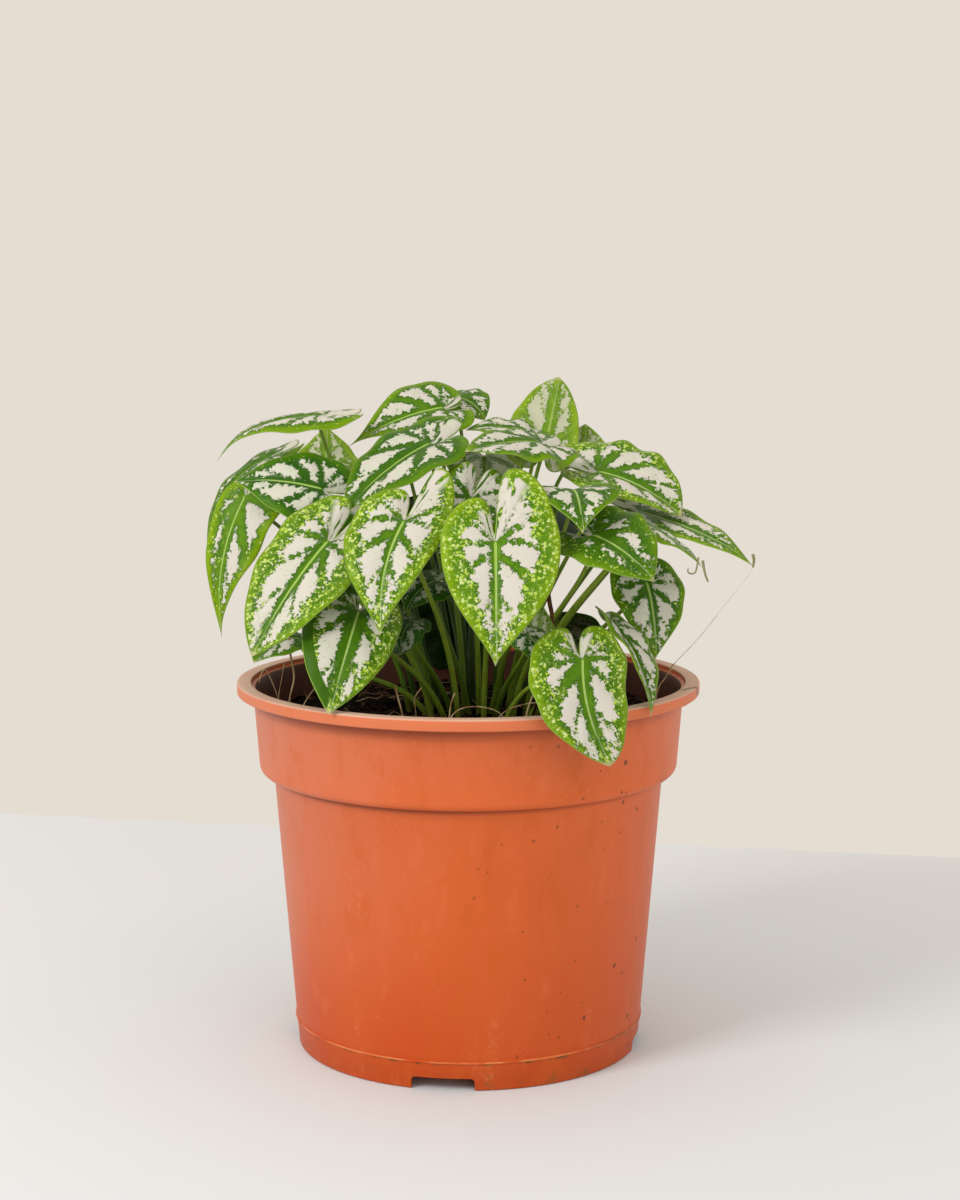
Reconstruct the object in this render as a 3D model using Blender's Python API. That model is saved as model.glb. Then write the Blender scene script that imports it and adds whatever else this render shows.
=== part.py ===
"""Potted miniature caladium: a nursery pot, its soil, and heart-shaped leaves on slim stalks."""
import math
from typing import NamedTuple

import bmesh
import bpy
import numpy as np
from mathutils import Vector

MM = 0.001
GAP = 0.3                       # clearance between pieces that rest against each other

# Pot, in millimetres
POT_HEIGHT = 136.0
RIM_RADIUS = 85.0
RIM_OPENING = 79.8
LIP_FACE = 4.2
LIP_ROUND = 0.7
STEP_DEPTH = 1.6
STEP_WIDTH = 1.4
COLLAR_TOP_RADIUS = 79.0
COLLAR_FOOT_RADIUS = 77.0
COLLAR_FOOT_HEIGHT = 102.5
COLLAR_ROUND = 3.0
BODY_TOP_RADIUS = 71.8
BODY_FOOT_RADIUS = 64.3
RIDGE_HEIGHT = 10.3
RIDGE_PROUD = 0.5
FOOT_RADIUS = 63.4
WALL = 1.6
FLOOR_TOP = 8.5
FLOOR_UNDERSIDE = 6.5
CENTRE_HOLE_RADIUS = 5.0
DRAIN_HOLE_RADIUS = 5.0
DRAIN_HOLE_RING = 42.0
DRAIN_HOLES = 6
NOTCHES = 4
NOTCH_WIDTH = 22.6
NOTCH_HEIGHT = 4.5
NOTCH_ROUND = 1.6
NOTCH_REACH = 6.4               # how far the notch blocks stand in and out of the foot ring
FIRST_NOTCH_TURN = -8.0         # degrees from the front, towards -X
POT_SIDES = 44
COLLAR_STEPS, LIP_STEPS, NOTCH_STEPS = 2, 1, 2
DRAIN_SIDES = 12
CUT_BEYOND = 2.0                # how far a cutter stands out of what it cuts
SHARP_ANGLE = math.radians(35)  # edges bent more than this are shaded sharp

# Soil, in millimetres
SOIL_EDGE_HEIGHT = 121.0
SOIL_MOUND = 2.5
SOIL_ROUGHNESS = 0.8
SOIL_RINGS = 7
SOIL_SIDES = 24
SOIL_SEED = 7

# Leaves, in millimetres
BLADE_THICKNESS = 0.8
BLADE_RINGS = (0.4, 0.74, 1.0)  # shares of the way from the joint to the margin
NORMAL_STEP = 0.1               # how far apart the points that give the blade's slope are
STALK_SIDES = 6
STALK_STEPS = 7
STALK_FOOT_RADIUS = 1.4
STALK_TOP_RADIUS = 0.8
STALK_FOOT_DEPTH = 6.0
STALK_DROP = 1.6                # the stalk starts this far under the joint
STALK_LOW, STALK_TALL = 35.0, 80.0
STALK_LEAN_LOW = 0.8            # shares of its whole lean that a stalk has at its foot
STALK_LEAN_TALL = 0.22
STALK_TOP_REACH = 0.3           # shares of its length that a stalk keeps to its end directions
STALK_FOOT_REACH = 0.45
HOLE_DEPTH = 7.5
HOLE_RADIUS = 2.0
HOLE_SIDES = 6
CROWN = (4.0, 0.0)              # where the stalks come out of the soil
CROWN_SHARE = 0.30              # a stalk's foot lies this share of the way out to its joint

# Blade outline for one half: across is a share of half the width, along a share of the length
POINTED_TIP = ((0.0, 1.0), (0.16, 0.80), (0.90, 0.56), (1.0, 0.14))
ROUND_TIP = ((0.0, 1.0), (0.62, 0.98), (1.0, 0.70), (1.0, 0.14))
SIDE_CURVE = ((1.0, 0.14), (1.07, -0.22), (0.80, -0.98), (0.34, -1.0))
SINUS_CURVE = ((0.34, -1.0), (0.12, -1.01), (0.03, -0.85), (0.0, -0.22))
TIP_STEPS, SIDE_STEPS, SINUS_STEPS = 4, 3, 2
BLADE_WAVES = 2.3


class Leaf(NamedTuple):
    """One leaf. Places are in millimetres from the middle of the pot's foot."""
    name: str
    joint: tuple                # where the stalk meets the blade
    tip: tuple                  # the blade's point
    face: tuple                 # the way that the upper side looks
    width: float = 34.0
    lobe: float = 0.42          # lobes reach this share of the length behind the joint
    arch: float = 3.0           # the midrib's bow above a straight line
    fold: float = 10.0          # degrees that each half is raised
    cup: float = 3.0            # how far the margins turn down
    wave: float = 1.0           # height of the margin's waves
    hook: float = 0.0           # how far the tip turns down
    blunt: float = 0.0          # 0 is the pointed tip, 1 the round one
    uneven: float = 0.0         # how much wider the half on the leaf's own right is than its left
    skew: float = 0.0           # how much further the lobe on that side reaches
    bow: float = 0.0            # how far the midrib curves to that side
    foot: tuple = (0.0, 0.0)    # nudge of the stalk's foot on the soil


LEAVES = (
    Leaf("leaf_left_arching", (-55, 4, 232.5), (-93, 0, 225), (-0.1, -0.18, 1), 24, arch=1.2, cup=5,
         wave=0.5, hook=9),
    Leaf("leaf_left_rear_upright", (-54.5, 34, 211), (-55, 50, 225.5), (0, 1, -0.5), 26, lobe=0.25,
         cup=2, blunt=0.4, foot=(-0.2, -0.2)),
    Leaf("leaf_left_middle", (-53, -12, 207), (-85, -6, 209), (-0.1, -0.75, 0.6), 30, uneven=-0.06,
         skew=-0.2, foot=(-1.5, 0)),
    Leaf("leaf_left_outer", (-75, 26, 215.5), (-98, 20, 183), (-0.75, -0.4, 0.6), 21, lobe=0.3, arch=6),
    Leaf("leaf_left_hanging", (-82, 4, 202.5), (-90.5, -3, 151.5), (-0.5, -0.85, 0.3), 28, lobe=0.16,
         fold=15, blunt=-0.2, uneven=-0.3, skew=-0.3, bow=3),
    Leaf("leaf_front_left", (-49, -42, 191), (-74, -60, 153.5), (-0.35, -0.85, 0.4), 37.5, lobe=0.44,
         blunt=0.45, skew=-0.1, foot=(-1.5, 0.2)),
    Leaf("leaf_low_left", (-60.5, -18, 153.5), (-76, -34, 147), (-0.2, -0.45, 0.8), 26, blunt=0.4,
         foot=(0.5, -2.7)),
    Leaf("leaf_front_mid_left", (-22, -50, 199), (-29.5, -68, 162), (-0.1, -0.9, 0.45), 33.5, lobe=0.44,
         uneven=0.06, skew=-0.3, bow=2.5, foot=(0.1, -0.1)),
    Leaf("leaf_front_centre", (9.5, -63, 193), (9.5, -75, 152.5), (0.05, -0.93, 0.35), 41, lobe=0.52,
         uneven=-0.085, skew=-0.25),
    Leaf("leaf_low_front_left", (-38, -46, 167), (-47, -74, 136), (0.1, -0.85, 0.5), 34, lobe=0.28,
         cup=5, blunt=0.4, uneven=0.06, foot=(-0.1, 0.1)),
    Leaf("leaf_top_left", (-14, -9, 223), (-44, -28, 200), (-0.25, -0.45, 0.85), 38, lobe=0.34,
         arch=2.5, blunt=0.3, skew=0.3),
    Leaf("leaf_top_left_rear", (-10, 26, 234), (-45.5, 16, 219.5), (-0.3, -0.65, 0.75), 35, lobe=0.25,
         wave=0.4, blunt=-0.45, uneven=0.06),
    Leaf("leaf_top_small", (-5, 46, 236.5), (6, 40, 228.5), (0.3, -0.6, 0.75), 24, lobe=0.5, wave=0.4,
         blunt=0.5, foot=(0, -0.1)),
    Leaf("leaf_rear_upright", (29, 32, 219), (34.5, 52, 244.5), (0, 1, -0.5), 28, cup=2, blunt=0.7,
         uneven=0.14),
    Leaf("leaf_rear_small", (42, 42, 212), (45, 52, 226.5), (0.2, 1, -0.2), 24, lobe=0.3, blunt=0.5,
         foot=(1, -1.8)),
    Leaf("leaf_right_upper", (47, -12, 213), (76, -24, 198), (0.15, -0.5, 0.85), 37, fold=17,
         blunt=0.5, uneven=-0.14, skew=-0.2, foot=(-0.2, 0)),
    Leaf("leaf_right_long", (62, -10, 198.5), (99.5, -44, 186.5), (0.2, -0.5, 1), 26, lobe=0.3,
         arch=1, hook=4, foot=(0.1, -1)),
    Leaf("leaf_right_narrow", (60, -36.6, 198), (82.2, -46, 184.4), (0.55, -0.25, 0.75), 17,
         lobe=0.15, arch=0.6, hook=2, foot=(0.1, -0.3)),
    Leaf("leaf_right_centre", (43.5, -48, 194), (63.5, -60, 179.5), (0.25, -0.75, 0.6), 33, blunt=0.4,
         uneven=-0.12, foot=(0.2, -2.3)),
    Leaf("leaf_right_front_small", (36.7, -38, 209), (39.2, -61, 196), (0.05, -0.45, 0.9), 33,
         lobe=0.34, arch=4, foot=(0.8, 0.8)),
    Leaf("leaf_top_centre", (23, 16, 224), (-1, 19, 226), (-0.1, -0.25, 1), 27, arch=2.5, blunt=0.3),
    Leaf("leaf_top_centre_front", (25, -16, 224), (-1, -34, 222), (-0.1, -0.5, 1), 29, arch=1.5,
         blunt=0.3, uneven=-0.15, foot=(0.6, 0.3)),
    Leaf("leaf_behind_centre", (1, -30, 205), (-8, -36, 176), (0, -0.9, 0.4), 26, foot=(0.9, -0.6)),
    Leaf("leaf_low_front_right", (39, -70, 154), (47.5, -88, 121), (0.4, -0.8, 0.35), 37, lobe=0.34, arch=2,
         fold=6, blunt=0.65, uneven=0.06, bow=4, foot=(-1.1, -0.5)),
    Leaf("leaf_low_right_folded", (51, -41, 161.5), (63.2, -61, 132.8), (0.8, -0.45, 0.35), 26, lobe=0.2,
         fold=25, foot=(4, -4.9)),
    Leaf("leaf_low_right", (64, -20, 174), (66.5, -29, 147), (0.3, -0.9, 0.3), 28, lobe=0.35,
         foot=(3.3, -2.2)),
    Leaf("leaf_inner_upper", (-12, -16, 174), (-23, -24, 163), (-0.3, -0.7, 0.6), 22, lobe=0.4,
         foot=(1, -2)),
    Leaf("leaf_inner_round", (-20.5, -34, 161.5), (-24.5, -42, 151), (-0.2, -0.8, 0.4), 15, blunt=0.8,
         foot=(-2.5, 0.5)),
    Leaf("leaf_inner_small", (20.7, -49, 159.5), (27.7, -55, 147), (0.2, -0.8, 0.5), 13, lobe=0.3,
         foot=(0.8, 0)),
    Leaf("leaf_inner_young", (25, -35, 156), (26.6, -33, 168), (0, 1, 0.1), 12, foot=(-2.4, 2.8)),
    Leaf("leaf_back_top_left", (-24, 42, 214), (-36, 68, 194), (-0.3, 0.4, 0.85), 30, foot=(-1, 1)),
    Leaf("leaf_back_top", (6, 58, 214), (8, 91, 190), (0, 0.5, 0.85), 34, lobe=0.28, foot=(0.2, -0.4)),
    Leaf("leaf_back_left", (-46, 44, 190), (-68, 62, 164), (-0.5, 0.7, 0.5), 34, foot=(0.3, -0.3)),
    Leaf("leaf_back_centre", (-14, 58, 188), (-18, 84, 154), (-0.1, 0.85, 0.5), 38, foot=(0, 1.1)),
    Leaf("leaf_back_right", (34, 58, 194), (50, 84, 169), (0.3, 0.8, 0.5), 38, foot=(-2.2, 1.1)),
    Leaf("leaf_back_far_right", (58, 20, 200), (84, 34, 186), (0.4, 0.4, 0.85), 32),
    Leaf("leaf_back_low_left", (-46, 50, 166), (-62, 72, 138), (-0.5, 0.8, 0.4), 36, foot=(-2.1, 3.5)),
    Leaf("leaf_back_low", (-4, 54, 156), (-12, 72, 127), (0, 0.85, 0.5), 46, lobe=0.3, blunt=0.8,
         foot=(0.3, 7.4)),
    Leaf("leaf_back_low_right", (34.5, 50, 151), (41, 65, 130), (0.4, 0.8, 0.4), 36, lobe=0.25,
         foot=(1.7, 1.9)),
)


def clear_scene():
    for old in list(bpy.data.objects):
        bpy.data.objects.remove(old, do_unlink=True)


def principled(name, colour, roughness):
    material = bpy.data.materials.new(name)
    material.use_nodes = True
    shader = material.node_tree.nodes["Principled BSDF"]
    shader.inputs["Base Color"].default_value = (*colour, 1.0)
    shader.inputs["Roughness"].default_value = roughness
    return material


def add_object(name, vertices, faces, material=None):
    """A mesh object from points in millimetres, with its faces turned outwards."""
    mesh = bpy.data.meshes.new(name)
    mesh.from_pydata([Vector(point) * MM for point in vertices], [], faces)
    work = bmesh.new()
    work.from_mesh(mesh)
    bmesh.ops.triangulate(work, faces=work.faces[:])
    bmesh.ops.recalc_face_normals(work, faces=work.faces[:])
    work.to_mesh(mesh)
    work.free()
    if material:
        mesh.materials.append(material)
    mesh.shade_smooth()
    mesh.set_sharp_from_angle(angle=SHARP_ANGLE)
    part = bpy.data.objects.new(name, mesh)
    bpy.context.collection.objects.link(part)
    return part


def ring_faces(lower, upper, count):
    """Quads between two rings of points that start at the given indices."""
    faces = []
    for i in range(count):
        j = (i + 1) % count
        faces.append((lower + i, lower + j, upper + j, upper + i))
    return faces


def cut(part, cutter):
    """Take the cutter's shape out of the part with a modifier that stays on it."""
    cutter.hide_render = True
    cutter.display_type = "WIRE"
    modifier = part.modifiers.new("cut " + cutter.name, "BOOLEAN")
    modifier.operation = "DIFFERENCE"
    modifier.solver = "EXACT"
    modifier.object = cutter


def arc(centre, radius, start, end, steps):
    """Points of a round stretch of a profile, angles in degrees."""
    points = []
    for i in range(steps + 1):
        angle = math.radians(start + (end - start) * i / steps)
        points.append((centre[0] + radius * math.cos(angle), centre[1] + radius * math.sin(angle)))
    return points


def inner_wall():
    """The pot's inside from the rim down to its floor, as radius and height."""
    collar_line = POT_HEIGHT - LIP_FACE
    return [
        (RIM_OPENING, POT_HEIGHT),
        (RIM_OPENING, POT_HEIGHT - STEP_DEPTH),
        (RIM_OPENING - STEP_WIDTH, POT_HEIGHT - STEP_DEPTH),
        (COLLAR_TOP_RADIUS - WALL, collar_line),
        (COLLAR_FOOT_RADIUS - WALL, COLLAR_FOOT_HEIGHT + COLLAR_ROUND),
        (BODY_TOP_RADIUS - WALL, COLLAR_FOOT_HEIGHT),
        (BODY_FOOT_RADIUS - WALL, FLOOR_TOP),
    ]


def outer_wall():
    """The pot's outside from the foot up to the lip, as radius and height."""
    lip_line = POT_HEIGHT - LIP_FACE
    ridge = BODY_FOOT_RADIUS + RIDGE_PROUD
    collar_corner = (COLLAR_FOOT_RADIUS - COLLAR_ROUND, COLLAR_FOOT_HEIGHT + COLLAR_ROUND)
    lip_corner = (RIM_RADIUS - LIP_ROUND, POT_HEIGHT - LIP_ROUND)
    lip_underside = (RIM_RADIUS - LIP_ROUND, lip_line + LIP_ROUND)
    return [
        (FOOT_RADIUS - WALL, 0.0),
        (FOOT_RADIUS, 0.0),
        (BODY_FOOT_RADIUS, RIDGE_HEIGHT - RIDGE_PROUD),
        (ridge, RIDGE_HEIGHT),
        (BODY_FOOT_RADIUS, RIDGE_HEIGHT + RIDGE_PROUD),
        (BODY_TOP_RADIUS, COLLAR_FOOT_HEIGHT),
        *arc(collar_corner, COLLAR_ROUND, -90, 0, COLLAR_STEPS),
        (COLLAR_TOP_RADIUS, lip_line),
        *arc(lip_underside, LIP_ROUND, -90, 0, LIP_STEPS),
        *arc(lip_corner, LIP_ROUND, 0, 90, LIP_STEPS),
    ]


def turned(name, profile, sides, material=None):
    """A closed profile of (radius, height) turned about the pot's axis."""
    vertices = []
    for radius, height in profile:
        for i in range(sides):
            angle = 2 * math.pi * i / sides
            vertices.append((radius * math.cos(angle), radius * math.sin(angle), height))
    faces = []
    for ring in range(len(profile)):
        following = (ring + 1) % len(profile)
        faces += ring_faces(ring * sides, following * sides, sides)
    return add_object(name, vertices, faces, material)


def notch_cutter():
    """Four low blocks with rounded upper corners, set across the foot ring."""
    half = NOTCH_WIDTH / 2
    corner = half - NOTCH_ROUND
    top = NOTCH_HEIGHT - NOTCH_ROUND
    outline = [(half, -CUT_BEYOND), *arc((corner, top), NOTCH_ROUND, 0, 90, NOTCH_STEPS)]
    outline += [(-x, z) for x, z in reversed(outline)]
    vertices, faces = [], []
    for i in range(NOTCHES):
        turn = math.radians(FIRST_NOTCH_TURN + 360 / NOTCHES * i - 90)
        out = Vector((math.cos(turn), math.sin(turn), 0))
        side = Vector((-math.sin(turn), math.cos(turn), 0))
        start = len(vertices)
        for reach in (FOOT_RADIUS - NOTCH_REACH, FOOT_RADIUS + NOTCH_REACH):
            vertices += [out * reach + side * x + Vector((0, 0, z)) for x, z in outline]
        count = len(outline)
        faces += ring_faces(start, start + count, count)
        faces += [tuple(range(start, start + count))]
        faces += [tuple(range(start + count, start + 2 * count))]
    return add_object("notch_cutter", vertices, faces)


def drain_cutter():
    """Round drainage holes on a ring in the floor."""
    vertices, faces = [], []
    for i in range(DRAIN_HOLES):
        turn = 2 * math.pi * (i + 0.5) / DRAIN_HOLES
        centre = Vector((math.cos(turn), math.sin(turn), 0)) * DRAIN_HOLE_RING
        start = len(vertices)
        upper = start + DRAIN_SIDES
        for height in (FLOOR_UNDERSIDE - CUT_BEYOND, FLOOR_TOP + CUT_BEYOND):
            for x, y in arc((centre.x, centre.y), DRAIN_HOLE_RADIUS, 0, 360, DRAIN_SIDES)[:-1]:
                vertices.append((x, y, height))
        faces += ring_faces(start, upper, DRAIN_SIDES)
        faces += [tuple(range(start, upper)), tuple(range(upper, upper + DRAIN_SIDES))]
    return add_object("drain_cutter", vertices, faces)


def make_pot():
    material = principled("terracotta plastic", (0.56, 0.15, 0.06), 0.5)
    underside = [
        (CENTRE_HOLE_RADIUS, FLOOR_TOP),
        (CENTRE_HOLE_RADIUS, FLOOR_UNDERSIDE),
        (FOOT_RADIUS - WALL, FLOOR_UNDERSIDE),
    ]
    profile = underside + outer_wall() + inner_wall()
    pot = turned("pot", profile, POT_SIDES, material)
    cut(pot, notch_cutter())
    cut(pot, drain_cutter())
    return pot


def soil_height(x, y):
    """The soil's level before its crumbs are added."""
    share = math.hypot(x, y) / COLLAR_TOP_RADIUS
    return SOIL_EDGE_HEIGHT + SOIL_MOUND * (1 - share ** 2)


def stalk_foot(leaf):
    """Where the stalk leaves the soil, in millimetres."""
    x = CROWN[0] + (leaf.joint[0] - CROWN[0]) * CROWN_SHARE + leaf.foot[0]
    y = CROWN[1] + (leaf.joint[1] - CROWN[1]) * CROWN_SHARE + leaf.foot[1]
    return np.array((x, y, soil_height(x, y)))


def unit(vector):
    return vector / np.linalg.norm(vector)


def blade_frame(leaf):
    """The blade's length and its along, across and upper-side directions."""
    joint, tip = np.array(leaf.joint, float), np.array(leaf.tip, float)
    length = np.linalg.norm(tip - joint)
    along = (tip - joint) / length
    face = np.array(leaf.face, float)
    face = unit(face - along * (face @ along))
    return length, along, np.cross(along, face), face


def blade_points(leaf, across_mm, along_mm):
    """The blade's middle surface at flat positions measured from the joint."""
    length, along, across, face = blade_frame(leaf)
    share = along_mm / length
    ahead = np.clip(share, 0, 1)
    behind = np.minimum(share, 0)
    spread = across_mm / (leaf.width / 2)
    rise = 4 * leaf.arch * (ahead * (1 - ahead) + behind) - leaf.hook * ahead ** 4
    ripple = np.sin(2 * math.pi * BLADE_WAVES * share + np.sign(across_mm) + leaf.joint[0])
    fold = math.radians(leaf.fold)
    out = across_mm * math.cos(fold) + 4 * leaf.bow * (ahead * (1 - ahead) + behind / 2)
    up = np.abs(across_mm) * math.sin(fold) + spread ** 2 * (leaf.wave * ripple - leaf.cup)
    return (
        np.array(leaf.joint, float)
        + np.multiply.outer(along_mm, along)
        + np.multiply.outer(out, across)
        + np.multiply.outer(up + rise, face)
    )


def bezier(points, steps):
    """Evenly stepped points of a cubic curve, its end point left out."""
    first, second, third, last = np.array(points, float)
    share = np.arange(steps)[:, None] / steps
    rest = 1 - share
    return (
        rest ** 3 * first
        + 3 * rest ** 2 * share * second
        + 3 * rest * share ** 2 * third
        + share ** 3 * last
    )


def blade_outline(leaf):
    """The margin from the tip round to the tip again, as flat millimetres."""
    length = blade_frame(leaf)[0]
    tip_curve = (1 - leaf.blunt) * np.array(POINTED_TIP) + leaf.blunt * np.array(ROUND_TIP)
    half = np.vstack([
        bezier(tip_curve, TIP_STEPS),
        bezier(SIDE_CURVE, SIDE_STEPS),
        bezier(SINUS_CURVE, SINUS_STEPS),
        [SINUS_CURVE[-1]],
    ])
    right, left = (
        np.column_stack([
            side * (1 + side * leaf.uneven) * half[:, 0] * leaf.width / 2,
            np.where(half[:, 1] > 0, 1, leaf.lobe * (1 + side * leaf.skew)) * half[:, 1] * length,
        ])
        for side in (1, -1)
    )
    return np.vstack([right, left[-2:0:-1]])


def blade_normals(leaf, flat):
    """Directions square to the blade on its upper side, at flat positions."""
    across, along = flat[:, 0], flat[:, 1]
    further = blade_points(leaf, across, along + NORMAL_STEP)
    nearer = blade_points(leaf, across, along - NORMAL_STEP)
    right = blade_points(leaf, across + NORMAL_STEP, along)
    left = blade_points(leaf, across - NORMAL_STEP, along)
    normals = np.cross(right - left, further - nearer)
    return normals / np.linalg.norm(normals, axis=1)[:, None]


def stalk_curve(leaf):
    """Points down the stalk from under the joint into the soil, and its direction at the foot."""
    face = blade_normals(leaf, np.zeros((1, 2)))[0]
    top = np.array(leaf.joint, float) - face * STALK_DROP
    foot = stalk_foot(leaf)
    reach = np.linalg.norm(top - foot)
    lean = (top - foot) / reach
    spread = np.interp(top[2] - foot[2], (STALK_LOW, STALK_TALL), (STALK_LEAN_LOW, STALK_LEAN_TALL))
    start = unit(lean * (spread, spread, 0) + (0, 0, 1))
    arrive = unit(face + lean)
    below_top = top - arrive * reach * STALK_TOP_REACH
    above_foot = foot + start * reach * STALK_FOOT_REACH
    above_soil = bezier((top, below_top, above_foot, foot), STALK_STEPS)
    return np.vstack([above_soil, [foot, foot - start * STALK_FOOT_DEPTH]]), start


def stalk_rings(curve, first_side):
    """Rings of points round the stalk, each turned on from the one above."""
    rings = []
    side = first_side
    for i, centre in enumerate(curve):
        before, after = curve[max(i - 1, 0)], curve[min(i + 1, len(curve) - 1)]
        down = unit(after - before)
        side = unit(side - down * (side @ down))
        other = np.cross(down, side)
        share = min(i / STALK_STEPS, 1)
        radius = STALK_TOP_RADIUS + (STALK_FOOT_RADIUS - STALK_TOP_RADIUS) * share
        for k in range(STALK_SIDES):
            angle = 2 * math.pi * k / STALK_SIDES
            rings.append(centre + radius * (math.cos(angle) * side + math.sin(angle) * other))
    return rings


def make_leaf(leaf, material):
    """A blade with two like faces, joined all round to its margin and below to its stalk."""
    outline = blade_outline(leaf)
    spokes = len(outline)
    flat = np.vstack([outline * share for share in BLADE_RINGS])
    middle = blade_points(leaf, flat[:, 0], flat[:, 1])
    lift = blade_normals(leaf, flat) * BLADE_THICKNESS / 2
    face = blade_normals(leaf, np.zeros((1, 2)))[0]
    joint = np.array(leaf.joint, float)
    curve = stalk_curve(leaf)[0]
    rings = stalk_rings(curve, blade_frame(leaf)[1])

    top_start, under_start = 1, 1 + len(flat)
    stalk_start = under_start + len(flat)
    vertices = [joint + face * BLADE_THICKNESS / 2, *(middle + lift), *(middle - lift), *rings]
    faces = []
    for i in range(spokes):
        j = (i + 1) % spokes
        faces.append((0, top_start + i, top_start + j))
    for ring in range(len(BLADE_RINGS) - 1):
        for start in (top_start, under_start):
            first = start + ring * spokes
            for i in range(spokes):
                j = (i + 1) % spokes
                faces.append((first + i, first + spokes + i, first + spokes + j))
                faces.append((first + i, first + spokes + j, first + j))
    last = (len(BLADE_RINGS) - 1) * spokes
    faces += ring_faces(top_start + last, under_start + last, spokes)
    faces += collar_faces(under_start, spokes, stalk_start)
    for ring in range(len(curve) - 1):
        first = stalk_start + ring * STALK_SIDES
        faces += ring_faces(first, first + STALK_SIDES, STALK_SIDES)
    foot = stalk_start + (len(curve) - 1) * STALK_SIDES
    faces.append(tuple(range(foot, foot + STALK_SIDES)))
    return add_object(leaf.name, vertices, faces, material)


def collar_faces(outer, spokes, inner):
    """Triangles from the blade's inmost ring to the stalk's top ring."""
    share = spokes // STALK_SIDES
    faces = []
    for i in range(spokes):
        k = (i + share // 2) // share % STALK_SIDES
        faces.append((outer + i, outer + (i + 1) % spokes, inner + k))
        following = (i + 1 + share // 2) // share % STALK_SIDES
        if following != k:
            faces.append((outer + (i + 1) % spokes, inner + following, inner + k))
    return faces


def soil_hole_cutter():
    """A plain round hole for each stalk's foot, drilled along the stalk."""
    vertices, faces = [], []
    for leaf in LEAVES:
        foot = stalk_foot(leaf)
        way = stalk_curve(leaf)[1]
        side = unit(np.cross(way, (0.0, 1.0, 0.0)))
        other = np.cross(way, side)
        start = len(vertices)
        for reach in (-HOLE_DEPTH, HOLE_DEPTH):
            for k in range(HOLE_SIDES):
                angle = 2 * math.pi * k / HOLE_SIDES
                spoke = math.cos(angle) * side + math.sin(angle) * other
                vertices.append(foot + way * reach + HOLE_RADIUS * spoke)
        faces += ring_faces(start, start + HOLE_SIDES, HOLE_SIDES)
        faces += [tuple(range(start, start + HOLE_SIDES))]
        faces += [tuple(range(start + HOLE_SIDES, start + 2 * HOLE_SIDES))]
    return add_object("soil_hole_cutter", vertices, faces)


def wall_radius(height):
    """The pot's inner radius at a height, by straight lines between its corners."""
    corners = sorted((z, r) for r, z in inner_wall())
    heights = [z for z, _ in corners]
    radii = [r for _, r in corners]
    return float(np.interp(height, heights, radii))


def make_soil():
    """The soil fills the pot up to a slightly mounded, crumbly surface."""
    material = principled("potting soil", (0.022, 0.014, 0.009), 0.95)
    draw = np.random.default_rng(SOIL_SEED)
    levels = [FLOOR_TOP + GAP, COLLAR_FOOT_HEIGHT, COLLAR_FOOT_HEIGHT + COLLAR_ROUND, SOIL_EDGE_HEIGHT]
    side = [(wall_radius(level) - GAP, level) for level in levels]
    side[1] = (BODY_TOP_RADIUS - WALL - GAP, COLLAR_FOOT_HEIGHT + GAP)
    edge = side[-1][0]
    vertices, faces = [(0.0, 0.0, FLOOR_TOP + GAP)], []
    for radius, height in side:
        for i in range(SOIL_SIDES):
            angle = 2 * math.pi * i / SOIL_SIDES
            vertices.append((radius * math.cos(angle), radius * math.sin(angle), height))
    for ring in range(SOIL_RINGS - 1, 0, -1):
        for i in range(SOIL_SIDES):
            angle = 2 * math.pi * i / SOIL_SIDES
            radius = edge * ring / SOIL_RINGS
            x, y = radius * math.cos(angle), radius * math.sin(angle)
            vertices.append((x, y, soil_height(x, y) + SOIL_ROUGHNESS * draw.uniform(-1, 1)))
    vertices.append((0.0, 0.0, soil_height(0, 0)))
    rings = len(side) + SOIL_RINGS - 1
    for i in range(SOIL_SIDES):
        faces.append((0, 1 + (i + 1) % SOIL_SIDES, 1 + i))
    for ring in range(rings - 1):
        faces += ring_faces(1 + ring * SOIL_SIDES, 1 + (ring + 1) * SOIL_SIDES, SOIL_SIDES)
    last = 1 + (rings - 1) * SOIL_SIDES
    for i in range(SOIL_SIDES):
        faces.append((last + i, last + (i + 1) % SOIL_SIDES, len(vertices) - 1))
    soil = add_object("soil", vertices, faces, material)
    cut(soil, soil_hole_cutter())
    return soil


def main():
    clear_scene()
    make_pot()
    make_soil()
    material = principled("caladium leaf", (0.22, 0.42, 0.10), 0.45)
    for leaf in LEAVES:
        make_leaf(leaf, material)


main()
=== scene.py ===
import math
from types import SimpleNamespace
from typing import NamedTuple

import bmesh
import bpy
import numpy as np
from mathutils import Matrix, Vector, noise
from mathutils.geometry import delaunay_2d_cdt


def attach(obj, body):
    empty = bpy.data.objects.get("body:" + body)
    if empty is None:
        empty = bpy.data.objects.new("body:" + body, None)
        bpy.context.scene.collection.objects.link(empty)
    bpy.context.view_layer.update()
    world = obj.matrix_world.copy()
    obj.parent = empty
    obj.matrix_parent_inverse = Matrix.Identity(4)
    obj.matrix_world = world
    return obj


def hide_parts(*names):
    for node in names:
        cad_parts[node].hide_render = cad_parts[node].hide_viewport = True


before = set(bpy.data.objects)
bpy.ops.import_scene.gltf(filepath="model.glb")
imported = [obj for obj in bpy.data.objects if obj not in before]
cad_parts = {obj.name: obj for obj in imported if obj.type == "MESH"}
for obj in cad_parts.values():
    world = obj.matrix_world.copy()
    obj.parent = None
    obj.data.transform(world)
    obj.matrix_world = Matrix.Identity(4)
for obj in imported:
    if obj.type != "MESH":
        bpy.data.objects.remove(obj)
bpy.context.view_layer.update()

MM = 0.001
TURN = 2 * math.pi
TINY = 1e-9
SEED = 11
BODY = "root"

# Camera, fitted to the pot in the photograph, in millimetres and degrees
FOCAL_LENGTH = 70.86
SENSOR = 36.0
CAMERA_PLACE = (4.3, -860.0, 282.0)
CAMERA_DOWN = 7.75
CAMERA_REACH = 20000.0

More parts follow.
